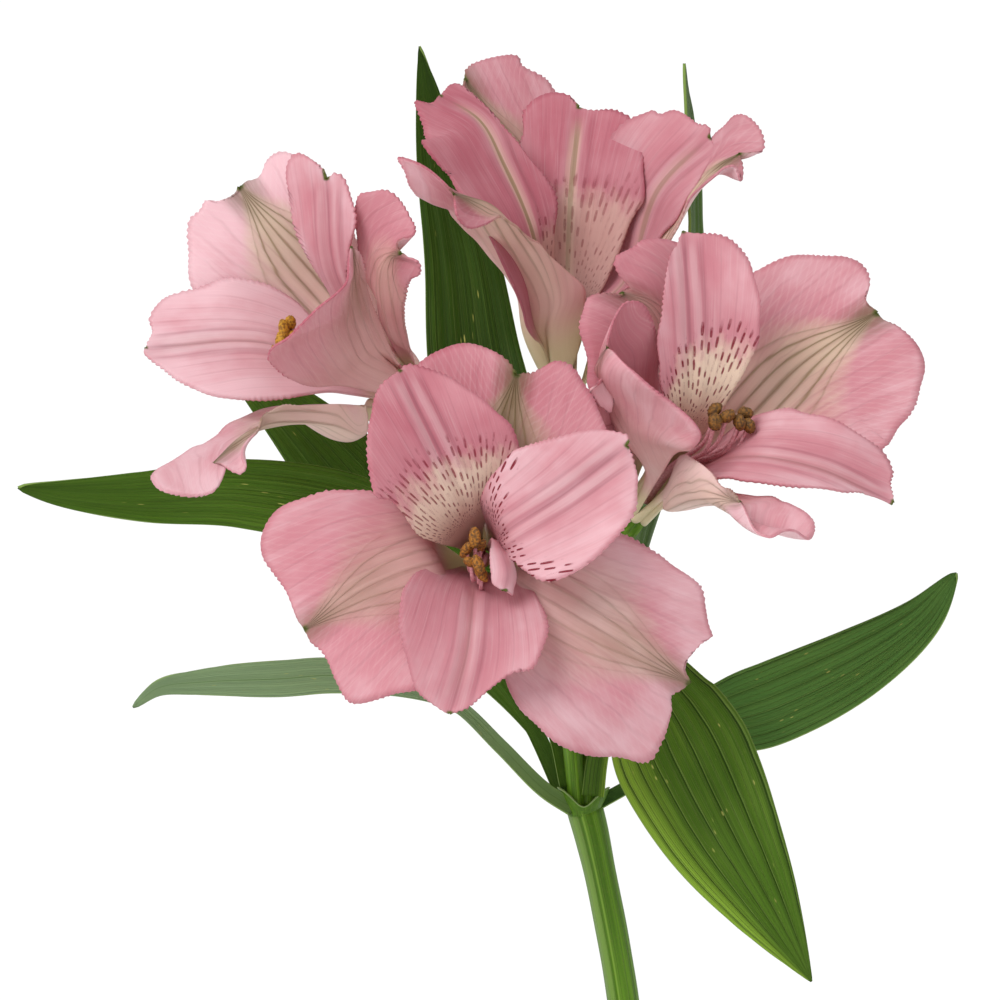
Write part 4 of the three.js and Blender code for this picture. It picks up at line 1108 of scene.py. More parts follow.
@dataclass(frozen=True)
class Tepal(Blade):
    """One of a bloom's six petal-like leaves.

    Attributes:
        marking: What it carries on its face.
        claw: The claw's share of the half width.
        tube: How far from the bloom's axis the claw starts.
        flare: How much further out it is at the tube's mouth.
        turn: How far round the axis its face is turned, in degrees.
        folds: The height of the two folds beside the middle vein.
        tooth: The size of the margin's teeth.
        left_edge: Points of the left margin from root to tip, where it has its own form: each
            is the share of the length along and the distance across in millimetres.
        right_edge: The same for the right margin.
        left_rail: Points in the bloom's space that the left margin runs through instead, where
            the tepal stands edge-on.
        right_rail: The same for the right margin.
        bow: How far each half bulges outward between the rib and its rail.
    """

    marking: Marking = Marking.VEINED
    claw: float = 0.1
    tube: float = 2.8
    flare: float = 3.4
    turn: float = 0.0
    folds: float = 0.0
    tooth: float = 0.5
    left_edge: tuple[tuple[float, float], ...] = ()
    right_edge: tuple[tuple[float, float], ...] = ()
    left_rail: tuple[Point, ...] = ()
    right_rail: tuple[Point, ...] = ()
    bow: float = 0.12
    cup: tuple[float, ...] = (62, 26, 12, 4)
    left: float = 17.0
    right: float = 17.0
    wave: float = 0.7
    waves: float = 3.0
    flutter: float = 0.5
    rows: int = 190
    columns: int = 32

    def margin(self, side: int, length: float) -> Array:
        """One half's margin from root to tip.

        Args:
            side: -1 for the left half and 1 for the right one.
            length: The rib's length.

        Returns:
            For each of its points the distance across and the distance along, in millimetres.
        """
        half = self.left if side < 0 else self.right
        edge = self.left_edge if side < 0 else self.right_edge
        knots = [(0.0, self.claw * half), *edge, (1.0, 0.0)]
        points = np.array([(x, y * length, 0.0) for y, x in knots])
        return Rib.curve(points, MARGIN_STEPS)[0][:, :2]

    def rail(self, rib: Rib, side: int, t: Array) -> tuple[Array, Array, Array]:
        """The margin of a tepal that is spread between rails.

        Args:
            rib: The tepal's rib.
            side: -1 for the left margin and 1 for the right one.
            t: The share of the way from root to tip.

        Returns:
            The places on it, the nearest shares of the rib and the teeth's height.
        """
        half, rail = (self.left, self.left_rail) if side < 0 else (self.right, self.right_rail)
        root, _, across = rib.at(np.zeros(1), np.zeros(1))
        start = root + across * side * self.claw * half
        points = np.vstack([start, np.array(rail, float), rib.places[-1:]])
        line, length = Rib.curve(points, RAIL_STEPS)
        gaps = np.linalg.norm(line[:, None] - rib.places[None], axis=2)
        near = np.maximum.accumulate(np.argmin(gaps, axis=1) / (len(rib.places) - 1))
        span = 2 * RAIL_BLUR + 1
        shares = np.full(span, 1 / span)
        near = np.convolve(np.pad(near, RAIL_BLUR, mode="edge"), shares, mode="valid")
        run = np.linspace(0, 1, RAIL_STEPS + 1)
        at = t**TIP_FINE
        return read(at, run, line), np.interp(at, run, near), self.teeth(at * length, side, t)

    def surface(self, rib: Rib, t: Array, w: Array) -> tuple[Array, Array, Array]:
        """Bends the tepal along its rib, or spreads it between the rib and its rails."""
        if not self.left_rail:
            return super().surface(rib, t, w)
        rails, nears, teeth = zip(*(self.rail(rib, side, t) for side in (-1, 1)))
        start = np.mean([self.rail(rib, side, np.full(1, EARLY))[1] for side in (-1, 1)])
        middle = np.clip(self.even(sum(nears) / 2, start, 1, t), 0, 1)
        root, face, _ = rib.at(middle, np.zeros_like(t))
        ahead = rib.at(np.minimum(middle + 0.01, 1), np.zeros_like(t))[0]
        tangent = unit(ahead - rib.at(middle - 0.01, np.zeros_like(t))[0])
        left = w < 0
        chord = np.where(left[:, None], *rails) - root
        width = np.linalg.norm(chord, axis=1)
        a = np.abs(w)
        sag = a * (1 - a) * width * (self.bow + 0.5 * smooth(middle, 0.5, 0.2)) * 2
        outward = unit(chord + 1e-6)
        normal = unit(np.cross(outward * np.where(left, -1, 1)[:, None], tangent) + 1e-9)
        tooth = np.where(left, *teeth) * smooth(a, 0.86, 1.0)
        along = middle + (np.where(left, *nears) - middle) * a * a
        lift = self.loose(rib, along, w) + self.relief(w * width, along, w)
        place = root + chord * a[:, None] + outward * tooth[:, None]
        return place - face * sag[:, None] + normal * lift[:, None], along, w * width

    def outline(self, length: float, t: Array, w: Array) -> tuple[Array, Array]:
        """Where a point of the tepal lies when it is spread flat, teeth included."""
        spots, teeth, starts = [], [], []
        for side in (-1, 1):
            line = self.margin(side, length)
            run = run_of(line)
            at = run[-1] * t**TIP_FINE
            ahead, behind = (read(at + reach, run, line) for reach in (TOOTH_REACH, -TOOTH_REACH))
            slope = unit(ahead - behind + 1e-9)
            tooth = self.teeth(at, side, t) * smooth(np.abs(w), 0.86, 1.0)
            spots.append(read(at, run, line))
            teeth.append(np.stack([slope[:, 1] * tooth, -slope[:, 0] * tooth], axis=1))
            starts.append(np.interp(EARLY**TIP_FINE * run[-1], run, line[:, 1]))
        shared = (spots[0][:, 1] + spots[1][:, 1]) / 2
        middle = self.even(shared, sum(starts) / 2, length, t)
        left = (w < 0)[:, None]
        x, y = np.where(left, *spots).T
        dx, dy = np.where(left, *teeth).T
        far = middle + (y - middle) * w * w
        return w * x + np.sign(w) * dx, (far + dy) / length

    @staticmethod
    def even(shared: Array, start: float, end: float, t: Array) -> Array:
        """Where the rows cross the rib, which comes to be at even steps.

        Args:
            shared: Where the margins cross them, on average.
            start: The same at the early share.
            end: Where the tip is.
            t: The share of the way from root to tip.

        Returns:
            The place of each row along the rib.
        """
        straight = start + (end - start) * (t - EARLY) / (1 - EARLY)
        ease = smooth(t, 0.2, 0.85)
        return shared * (1 - ease) + straight * ease

    def teeth(self, distance: Array, side: int, t: Array) -> Array:
        """How far one side's margin stands out at a distance along it."""
        seed = 31 * (side + 2) + self.seed
        uneven = distance + 0.35 * wander(distance, 2.3, seed)
        saw = np.abs(((uneven / TOOTH_PITCH) % 1) * 2 - 1)
        size = 0.55 + 0.45 * wander(distance, 3.1, seed + 7)
        shown = smooth(t, 0.3, 0.5) * smooth(t, 1.0, 0.97)
        return self.tooth * (saw * size + wander(distance, 4.7, seed + 3)) * shown

    def make(self, name: str, rib: Rib, palette: Palette) -> bpy.types.Object:
        """Makes the tepal along a rib in the head's space."""
        upper, under = (palette.tepal[self.marking, side] for side in Side)
        return self.build(name, rib, HEAD_SPACE, (upper, under))

    def relief(self, across: Array, along: Array, w: Array) -> Array:
        """The folds beside the middle vein, and a crease along it."""
        shown = smooth(along, 0.35, 0.6) * smooth(along, 1.0, 0.85)
        ridge = np.exp(-(((np.abs(across) - 1.7) / 0.75) ** 2))
        groove = np.exp(-((across / 0.7) ** 2))
        veins = 0.02 * np.cos(across * 3.2) * smooth(np.abs(across), 6, 4)
        return shown * (self.folds * (ridge - groove) + veins)


LIP_FACE = (0.2, -1.0, 0.4)
OUTER = Tepal(path=(), crease=0)
INNER = Tepal(
    path=(), marking=Marking.SPOTTED, claw=0.13, cup=(70, 40, 20, 8), wave=0.4, waves=2.5,
    phase=1.0, left=12.0, right=12.0, tube=1.7, flare=1.4, folds=0.28, flutter=0.35, columns=28,
)  # fmt: skip


def outer(*path: Point, **more: object) -> Tepal:
    """An outer tepal through a path, with its own values."""
    return replace(OUTER, path=path, **more)


def inner(*path: Point, **more: object) -> Tepal:
    """An inner tepal through a path, with its own values."""
    return replace(INNER, path=path, **more)


@dataclass(frozen=True)
class Bloom:
    """One flower.

    Attributes:
        name: Its name.
        base: Where its ovary meets its tube.
        axis: Where it looks.
        tepals: Its three outer tepals and then its three inner ones.
        anthers: Where its anthers are.
        lips: Small curled tips in its throat.
        pollen: The name of its pollen's material in the palette.
        anther_size: Half an anther's width, depth and length.
    """

    name: str
    base: Point
    axis: Point
    tepals: tuple[Tepal, ...]
    anthers: tuple[Point, ...]
    lips: tuple[Tepal, ...] = ()
    pollen: str = "pollen_brown"
    anther_size: Point = (0.95, 0.85, 1.7)

    def along(self, height: float) -> Array:
        """A point of the bloom's axis."""
        return np.array(self.base) + unit(np.array(self.axis)) * height

    def rib(self, tepal: Tepal) -> Rib:
        """The rib of a tepal: out of the tube along the axis, and then over to its tip."""
        axis = unit(np.array(self.axis))
        path = [np.array(p, float) for p in tepal.path]
        reach = path[-1] - np.array(self.base)
        height = reach.dot(axis)
        outward = reach - axis * height
        radius = np.linalg.norm(outward)
        outward = outward / radius
        if len(path) == 1:
            path.insert(0, self.along(height * 0.74) + outward * radius * 0.42)
        angle = math.radians(tepal.turn)
        outward = outward * math.cos(angle) + np.cross(axis, outward) * math.sin(angle)
        claw = self.along(0) + outward * tepal.tube
        mouth = self.along(TUBE_LENGTH) + outward * (tepal.tube + tepal.flare)
        return Rib.along(np.array([claw, mouth, *path]), -outward)

    def build(self, palette: Palette) -> bpy.types.Object:
        """Makes the six tepals as one piece."""
        parts = []
        for i, tepal in enumerate(self.tepals):
            tepal = replace(tepal, seed=tepal.seed + 11 * i + len(self.name) * 5)
            parts.append(tepal.make(f"{self.name}_{i}", self.rib(tepal), palette))
        for lip in self.lips:
            rib = Rib.along(np.array(lip.path, float), np.array(LIP_FACE))
            parts.append(lip.make(f"{self.name}_lip", rib, palette))
        piece = Shaper.join(f"{self.name}_bloom", parts)
        return dress(piece, f"tepals_{self.name}")


FRONT_TEPALS = (
    outer(
        (-24.5, -42, 38), (-34, -45, 34.5), (-44.5, -43, 27.5),
        left=15.5, right=15.5, tone=(0.42, 0.5, 0.12), crease=0.4,
        left_edge=(
            (0.4, 7.3), (0.55, 11.9), (0.63, 16), (0.75, 18.4), (0.92, 15.9), (1, 13.8), (0.98, 4.2),
            (1, 2),
        ),
        right_edge=((0.25, 6.3), (0.49, 9.8), (0.81, 18.1), (0.95, 16.3), (0.98, 14.2), (0.98, 10.5)),
    ),
    outer(
        (-9, -42, 34), (3, -46, 27), (16.5, -42, 19),
        left=15.5, tone=(0.45, 0.3, 0.18), crease=0.4,
        left_edge=(
            (0.21, 4.9), (0.46, 11), (0.53, 13.1), (0.69, 15.1), (0.87, 14.1), (0.96, 9.7), (0.99, 8.3),
            (0.97, 5.9), (0.96, 1.8),
        ),
        right_edge=(
            (0.28, 6.7), (0.46, 9.8), (0.58, 15.6), (0.72, 18.5), (1, 13.7), (1.01, 11.3), (1, 5.5),
            (0.97, 3.3),
        ),
    ),
    outer(
        (-15, -37, 48), (-13, -37, 57.5), (-11, -34, 68),
        left=18, right=15.5, tone=(0.85, 0.7, 0.06), crease=1,
        left_edge=(
            (0.16, 4.8), (0.28, 9.2), (0.48, 13.2), (0.58, 16.4), (0.81, 18.1), (0.95, 15.5), (1.07, 9.7),
            (1.08, 6.5),
        ),
        right_edge=((0.49, 11.6), (0.58, 15), (0.82, 16.2), (1.05, 9), (1.08, 5.5), (1.01, 2.4)),
    ),
    inner(
        (-19.5, -43, 48), (-24, -45, 57.5), (-29.5, -42, 68.5),
        turn=20, left=13.5, right=11.5, tone=(0, 0.7, 0.12), marks=(0.68, -0.1, 0.06), crease=1,
        left_edge=((0.22, 1.8), (0.47, 6.8), (0.57, 10.8), (0.66, 11.9), (0.69, 14.5), (0.96, 4.9)),
        right_edge=((0.29, 3.6), (0.47, 6.5), (0.62, 11.5), (0.82, 9.9), (1, 1.9)),
    ),
    inner(
        (-12, -47, 43.5), (-3.5, -50, 49), (6.5, -48, 56.5),
        turn=-14, left=11.5, right=14, tone=(0, 0.32, 0), marks=(0.5, 0.05, -0.2), crease=1,
        left_edge=((0.22, 4.9), (0.45, 6.9), (0.64, 9.2), (0.72, 10.1), (0.98, 4), (1.01, 0.7)),
        right_edge=((0.54, 4.8), (0.65, 11.8), (0.8, 11.3), (0.95, 5.5)),
    ),
    inner(
        (-18, -47, 32), (-19, -54, 23.5), (-21.5, -53, 14.5),
        marking=Marking.PLAIN, turn=-6, right=11.5, tone=(0.1, 0.5, 0.14), crease=0.7,
        left_edge=((0.17, 2.4), (0.63, 11.4), (0.81, 11.2), (0.84, 7.6), (0.95, 3)),
        right_edge=((0.37, 4.9), (0.69, 11.9), (0.95, 6.1), (1, 1.5)),
    ),
)  # fmt: skip
FRONT_LIPS = (
    Tepal(
        path=(
            (-15.5, -26, 40), (-14.4, -40, 41.5), (-13.4, -46.5, 39.5), (-12.6, -49.5, 36.5),
            (-13, -50, 33.8),
        ),
        marking=Marking.PLAIN, left=2.6, right=2.4, claw=0.2, cup=(30, 30, -20, -60),
        left_edge=((0.6, 0.8), (0.75, 1.7), (0.9, 2.6), (1, 2.9)),
        right_edge=((0.6, 0.8), (0.75, 1.7), (0.9, 2.3), (0.98, 1.9)),
        tone=(0, 0.3, 0), crease=0.4, wave=0, tooth=0.2, rows=70, columns=16,
    ),
)  # fmt: skip
RIGHT_TEPALS = (
    outer(
        (25.5, -2, 60), (35.5, 2, 70), (48, 5, 78.5),
        left=18, right=18.5, tone=(1, 0.42, 0.16),
        left_edge=(
            (0.16, 3.2), (0.3, 6.5), (0.62, 13), (0.77, 17.3), (0.95, 14.5), (1.05, 9.1), (1.03, 4.7),
            (1, 2.9),
        ),
        right_edge=(
            (0.42, 7.9), (0.52, 16.5), (0.61, 21.2), (0.94, 15.9), (1.03, 8.9), (1.02, 3.7), (1, 1.8),
        ),
    ),
    outer(
        (13, -6, 46.6), (17.2, -20, 48), (20.9, -29, 48.2), (24.7, -35, 47.6),
        left=14, right=13, tone=(0.6, 0.35, 0),
        left_rail=(
            (16.2, -6, 49.6), (20.9, -10, 50.2), (25, -16, 49), (29.1, -22, 48.1), (32.7, -28, 47.6),
            (35.7, -33, 45.8), (36.5, -37, 43.1), (35.5, -40, 41.9), (33.3, -42, 43.2), (31.6, -43, 43.2),
            (29.3, -44, 42.1), (27.2, -43, 42.9), (25.7, -40, 45.4), (25, -37, 47),
        ),
        right_rail=(
            (13.3, -2, 50), (15.5, -13, 55.1), (18.1, -21, 53.6), (21.3, -28, 50.6), (23.5, -33, 48.8),
        ),
    ),
    outer(
        (9.5, 2, 62.5), (12.5, -3.2, 74), (10.5, -5.5, 79), (6, -7.4, 81.5),
        left=23, right=15, tone=(0.3, 0.65, 0),
        left_edge=((0.11, 3.9), (0.59, 23.1), (1.01, 19.2), (1.05, 15.5), (1.13, 4), (1, 0.7)),
        right_edge=(
            (0.16, 2), (0.33, 7.3), (0.56, 12.3), (0.66, 15.2), (0.84, 14.6), (1.05, 5.8), (1.02, 3.3),
            (0.96, 2),
        ),
    ),
    inner(
        (17, -9, 64), (17, -11, 77), (16, -8, 91.5),
        turn=-22, left=6.5, right=13, tone=(0, 0.5, 0.02), marks=(0.67, 0.45, 0.1), crease=1,
        left_edge=((0.46, 4.5), (0.59, 5.7), (0.93, 2.6), (0.96, 1.2)),
        right_edge=((0.48, 5.7), (0.69, 11.1), (0.8, 11.4), (0.96, 7.4)),
    ),
    inner(
        (5.8, -6, 58.2), (2.7, -11, 64.1), (1.9, -16, 68.7), (3.7, -20, 72.4),
        turn=22, left=16, right=14, tone=(0, 0.7, 0), marks=(0.3, 0, 0.1),
        left_rail=(
            (12.8, -8, 52.6), (14.9, -18, 55.7), (17.3, -23, 56.4), (18.4, -25, 58.2), (17.1, -26, 60.6),
            (14.6, -26, 62.9), (12.1, -26, 64.8), (9.9, -26, 66.5), (7.2, -25, 68.9), (5, -22, 71.3),
        ),
        right_rail=(
            (13.4, 4, 56.5), (13.6, -1, 62.5), (12.4, -5, 67.2), (11.7, -9, 71.8), (11, -12, 75.6),
            (9.2, -15, 79.1), (6.7, -17, 79.3), (5, -19, 76.8), (4, -20, 74),
        ),
    ),
    inner(
        (26.5, -18, 55), (37.5, -22, 53), (49.5, -20, 47.5),
        marking=Marking.PLAIN, left=11.5, right=9, cup_right=(70, 20, -10, -10), tone=(0.1, 0.42, 0.03),
        crease=0.8,
        left_edge=((0.46, 9.4), (0.69, 11.2), (0.94, 9.6), (0.98, 6.8), (0.98, 3.8)),
        right_edge=((0.56, 6.3), (0.61, 7), (0.74, 5.6), (0.95, 0.4)),
    ),
)  # fmt: skip
LEFT_TEPALS = (
    outer(
        (-41.5, 2, 82), (-49.5, -1, 91), (-56, 1, 99),
        left=16, right=13, tone=(0.95, 0.04, 0), crease=0.3,
        left_edge=(
            (0.19, 3.6), (0.58, 14.2), (0.81, 16.1), (1.02, 9.9), (1.03, 7.6), (1.05, 5.8), (1.02, 4.3),
            (0.99, 1),
        ),
        right_edge=((0.41, 6.2), (0.66, 10.5), (0.84, 11.4), (0.99, 9.3), (1.01, 6.3), (0.98, 3.2)),
    ),
    outer(
        (-31, -4, 74), (-33, -12, 83.5), (-31.5, -17, 87), (-29.5, -20, 87.5),
        left=15, right=12, tone=(0.4, 0.6, 0.1),
        left_rail=(
            (-29.7, 4, 70.3), (-31.6, 0, 74.2), (-33.1, -2, 77.7), (-33.9, -4, 81.2), (-35.4, -6, 83.3),
            (-36.7, -8, 86.8), (-36.9, -10, 91.1), (-37, -12, 95), (-36.3, -13, 97.6), (-34.4, -14, 98.1),
            (-32.1, -15, 97.9), (-30.1, -16, 96.6), (-28.5, -17, 94.4), (-27.7, -18, 92),
            (-28.2, -19, 90.3), (-30.1, -20, 89.4), (-30.3, -20, 88.6),
        ),
        right_rail=(
            (-27.4, 0, 69.8), (-28.7, -6, 74.5), (-29.4, -11, 78.4), (-29.3, -15, 81.8), (-28.5, -18, 83.5),
            (-26.8, -21, 84.3), (-26.8, -22, 85.8), (-27.9, -22, 86.6),
        ),
    ),
    outer(
        (-35.4, -1, 58.9), (-40.5, -8, 60.1), (-46.1, -16, 60.6), (-51.1, -24, 60.1), (-55.7, -30, 57.4),
        (-59.3, -32, 53.8),
        left=10, right=12, tone=(0.7, 0.22, 0.04), crease=0.5,
        left_rail=(
            (-29.7, 4, 62.4), (-38.4, -4, 63.5), (-45.3, -13, 63.1), (-50.3, -21, 62.4), (-51.6, -25, 61.2),
            (-52.5, -28, 59.2), (-53.8, -31, 57.6), (-54.6, -34, 55.9), (-54.5, -36, 54.5),
            (-54, -37, 53.2), (-54.8, -37, 52.3), (-56.4, -36, 52.8), (-58, -34, 53.7),
        ),
        right_rail=(
            (-34.2, 10, 63.2), (-43, 6, 63.4), (-49.9, -2, 63), (-54.1, -9, 61.7), (-57, -15, 59.9),
            (-60.3, -21, 57.7), (-63.6, -26, 55.5), (-66.1, -30, 53.8), (-68.2, -33, 52.5),
            (-68.8, -36, 51.2), (-68, -38, 49.8), (-65.4, -39, 48.9), (-61.5, -39, 48.8),
            (-58.9, -38, 49.9), (-58.3, -35, 51.6), (-58.8, -33, 53),
        ),
    ),
    inner(
        (-41.5, -12, 100),
        turn=10, left=9, right=9.5, tone=(0, 0.4, 0), marks=(0.3, 0, 0.1), crease=0.7,
        left_edge=((0.62, 3.3), (0.93, 7), (1.08, 5.8), (1.09, 4), (1.03, 0.2)),
        right_edge=((0.22, 2.5), (0.63, 2.1), (0.74, 3.3), (0.86, 5.2), (1, 2.3)),
    ),
    inner(
        (-34.5, -13, 74), (-37, -21, 81.5), (-37.4, -26, 88.5),
        turn=-16, left=7, right=16.5, tone=(0.2, 0.85, 0), marks=(0.3, 0, 0.1), crease=0.6,
        left_rail=(
            (-30.3, -2, 70.2), (-32.6, -8, 75.4), (-34.1, -14, 79.6), (-35.2, -19, 83.9),
            (-35.9, -24, 87.2),
        ),
        right_rail=(
            (-34, -6, 65.5), (-40, -14, 66.6), (-44.2, -20, 66.3), (-46.8, -24, 67.2), (-49.3, -27, 69),
            (-50.7, -29, 70.7), (-49.9, -31, 72.4), (-47.8, -32, 73.7), (-45.7, -32, 75.7),
            (-42.7, -32, 78.6), (-39.9, -31, 80.8), (-38.1, -30, 82.8), (-37.7, -28, 86.3),
        ),
    ),
    inner(
        (-71, -7, 72.5),
        marking=Marking.PLAIN, turn=8, left=12.5, cup=(70, 15, -5, 0), cup_right=(70, 40, 20, 8),
        tone=(0.1, 0.15, 0), crease=0.8,
        left_edge=((0.37, 7.5), (0.57, 12.1), (0.76, 12.1), (1, 1.4)),
        right_edge=(
            (0.16, 3.2), (0.42, 7.5), (0.5, 9.9), (0.62, 11.7), (0.81, 11.1), (0.93, 10.6), (0.97, 6.9),
            (0.97, 4),
        ),
    ),
)  # fmt: skip
TOP_TEPALS = (
    outer(
        (-10, 29.5, 99), (-19.5, 34.2, 118),
        left=5.5, tone=(0.6, 0.45, 0.2), crease=0.7,
        left_edge=((0.53, 9), (0.67, 8.1), (0.78, 7.3), (0.94, 3.2)),
        right_edge=((0.2, 1.1), (0.69, 12.7), (0.88, 14.2), (0.99, 11.7), (1.02, 11.8), (1.04, 3.8)),
    ),
    outer(
        (-5.5, 12, 81), (-10.5, 2, 90.5), (-15, -12, 95.5), (-21, -22, 97),
        left=14, right=14, tone=(0.75, 0.75, 0),
        left_rail=(
            (0, 20, 75.5), (0.3, 18, 80.2), (0.2, 16, 82.8), (-2.4, 13, 85.3), (-5.2, 9, 87.7),
            (-7.5, 4, 89.9), (-9.9, -1, 91.7), (-12.2, -8, 93.1), (-14.1, -13, 93.5), (-16.4, -18, 92.3),
            (-18.9, -22, 91.9), (-20.4, -24, 93.5), (-20.8, -24, 95.6),
        ),
        right_rail=(
            (-9.8, 21, 76.5), (-10.7, 18, 81.6), (-12.9, 14, 85.3), (-15.8, 9, 88.4), (-19.1, 3, 92.5),
            (-21.9, -4, 95.4), (-24.2, -10, 96.9), (-26.5, -15, 96.5), (-27.9, -19, 97.8),
            (-28.3, -22, 100), (-29.8, -24, 102.6), (-27.8, -24, 102.2), (-25.5, -24, 101.1),
            (-22.5, -23, 98.6),
        ),
    ),
    outer(
        (7.5, 16, 81.5), (15, 12, 94), (21, 8, 102), (25.5, 6, 104.5),
        left=15, right=14, tone=(0.9, 0.45, 0.42),
        left_rail=(
            (5.8, 24, 80.3), (10.4, 22, 87.8), (13.7, 20, 93.4), (16.5, 18, 99), (18.8, 16, 103.2),
            (21.1, 14, 107.1), (23.4, 12, 109.1), (25.2, 10, 110.8), (27, 8, 110.7), (28.5, 7, 108.9),
            (29.3, 6, 106.3), (28.9, 6, 104.8), (27.1, 6, 104.5),
        ),
        right_rail=(
            (6.6, 14, 79.7), (11.2, 9, 86.1), (15.3, 5, 93), (18.5, 3, 98.2), (20.4, 2, 100.4),
            (22.7, 2, 102.1), (24.5, 2, 102.2), (25.6, 2, 100), (26, 4, 102.3),
        ),
    ),
    inner(
        (-8.5, 12, 92.5), (-13, 15, 103), (-17, 18, 110.5), (-23.5, 20, 114.5),
        turn=20, left=15, right=8.5, twist=(0, -20, -35, -40), tone=(0.9, 0.8, 0.3), marks=(0.5, 0.7, 0.25),
        left_edge=((0.28, 10.6), (0.67, 13.3), (0.77, 15.5), (0.94, 11.2), (1, 7.2), (1.04, 4.6), (1, 3.2)),
        right_edge=((0.46, 4.8), (0.58, 6.3), (0.74, 4.7), (0.85, 2.7), (0.99, 4.8), (1.01, 3.4)),
    ),
    inner(
        (-0.5, 28, 113),
        left=9.5, tone=(0.8, 0.8, 0.34), marks=(0.68, 0.1, 0.05),
        left_edge=((0.58, 5.6), (0.86, 9.1), (1.01, 7), (1.04, 1.7)),
        right_edge=((0.19, 2.3), (0.36, 6.7), (0.6, 11.4), (0.65, 12.5), (0.93, 9.9), (0.98, 6.5)),
    ),
    inner(
        (7, 19, 84), (12.5, 16, 99), (21, 14, 107.5),
        marking=Marking.PLAIN, turn=-16, left=15, right=9, twist=(0, 20, 40, 45), tone=(0.4, 0.5, 0.3),
        crease=0.7,
        left_edge=(
            (0.23, 2.6), (0.37, 7.6), (0.71, 13.7), (0.9, 12.3), (0.91, 10.5), (0.96, 8.7), (0.99, 3.1),
            (1.01, 1.7),
        ),
        right_edge=((0.29, 1), (0.44, 13.4), (0.53, 3.3), (0.62, 6), (0.72, 8.2), (0.96, 3)),
    ),
)  # fmt: skip
BLOOMS = (
    Bloom(
        name="front", base=(-16, -17, 38), axis=(-0.06, -0.99, 0.1), tepals=FRONT_TEPALS,
        anthers=(
            (-18.9, -46, 40.2), (-17.6, -47, 42), (-16.7, -45, 40.8), (-18.2, -48, 38.2), (-17, -49, 37.8),
            (-16.6, -47, 36.5),
        ),
        pollen="pollen_amber", lips=FRONT_LIPS,
    ),
    Bloom(
        name="right", base=(9, 9, 46.5), axis=(0.424, -0.672, 0.607), tepals=RIGHT_TEPALS,
        anthers=(
            (21, -14.5, 62.5), (21, -16.5, 60.5), (23, -15.5, 61.5), (26, -12.5, 62), (25, -14.5, 60.5),
            (26.5, -13.5, 60),
        ),
        anther_size=(1.25, 1.1, 1.4),
    ),
    Bloom(
        name="left", base=(-27.5, 9, 64.5), axis=(-0.56, -0.69, 0.46), tepals=LEFT_TEPALS,
        anthers=(
            (-48.5, -11, 75.5), (-47.5, -10, 76.5), (-49, -11, 73.5), (-49.5, -12, 72), (-46.5, -10, 74.5),
            (-48, -11, 72),
        ),
        pollen="pollen_yellow",
    ),
    Bloom(
        name="top", base=(-3, 24, 67), axis=(0, -0.34, 0.94), tepals=TOP_TEPALS,
        anthers=(
            (-1.4, 18.4, 82), (-2.2, 17.1, 81.5), (-3.9, 17.1, 82.2), (-4.7, 18.6, 81.4), (-3.9, 20.1, 82),
            (-2.2, 20.1, 81.3),
        ),
    ),
)  # fmt: skip


@dataclass(frozen=True)
class Leaf(Blade):
    """A lance-shaped leaf with parallel veins.

    Attributes:
        face: Roughly where its upper face looks at the root.
        claw: The stalk's share of the half width.
        swell: Where its widest place is.
        taper: How full its ends are.
        stalk: The share of the length over which the stalk widens.
        pleat: The height of the folds between its veins.
        flipped: Whether its pale under face is the one that looks out.
    """

    face: Point = (0, -1, 0)
    claw: float = 0.16
    swell: float = 0.9
    taper: float = 0.65
    stalk: float = 0.45
    pleat: float = 0.12
    flipped: bool = False
    thickness: float = 0.5
    flutter: float = 0.3
    rows: int = 120
    columns: int = 36

    def outline(self, length: float, t: Array, w: Array) -> tuple[Array, Array]:
        """Where a point of the leaf lies when it is spread flat."""
        lens = np.sin(math.pi * t**self.swell) ** self.taper
        widened = lens * smooth(t, 0, self.stalk)
        width = np.maximum(widened, self.claw * np.sqrt(1 - t))
        half = np.where(w < 0, self.left, self.right)
        return w * width * half, t

    def relief(self, across: Array, along: Array, w: Array) -> Array:
        """The pleats between the veins and a keel along the middle."""
        shown = smooth(along, 0.1, 0.35) * smooth(along, 1.0, 0.7)
        keel = np.exp(-((across / 0.8) ** 2))
        return shown * (self.pleat * np.cos(w * 5 * math.pi) - 0.25 * keel)

    def make(self, name: str, space: Array, palette: Palette) -> bpy.types.Object:
        """Makes the leaf in the given space."""
        rib = Rib.along(np.array(self.path, float), np.array(self.face))
        faces = [palette.leaf[side] for side in Side]
        if self.flipped:
            faces.reverse()
        return self.build(name, rib, space, (faces[0], faces[1]))


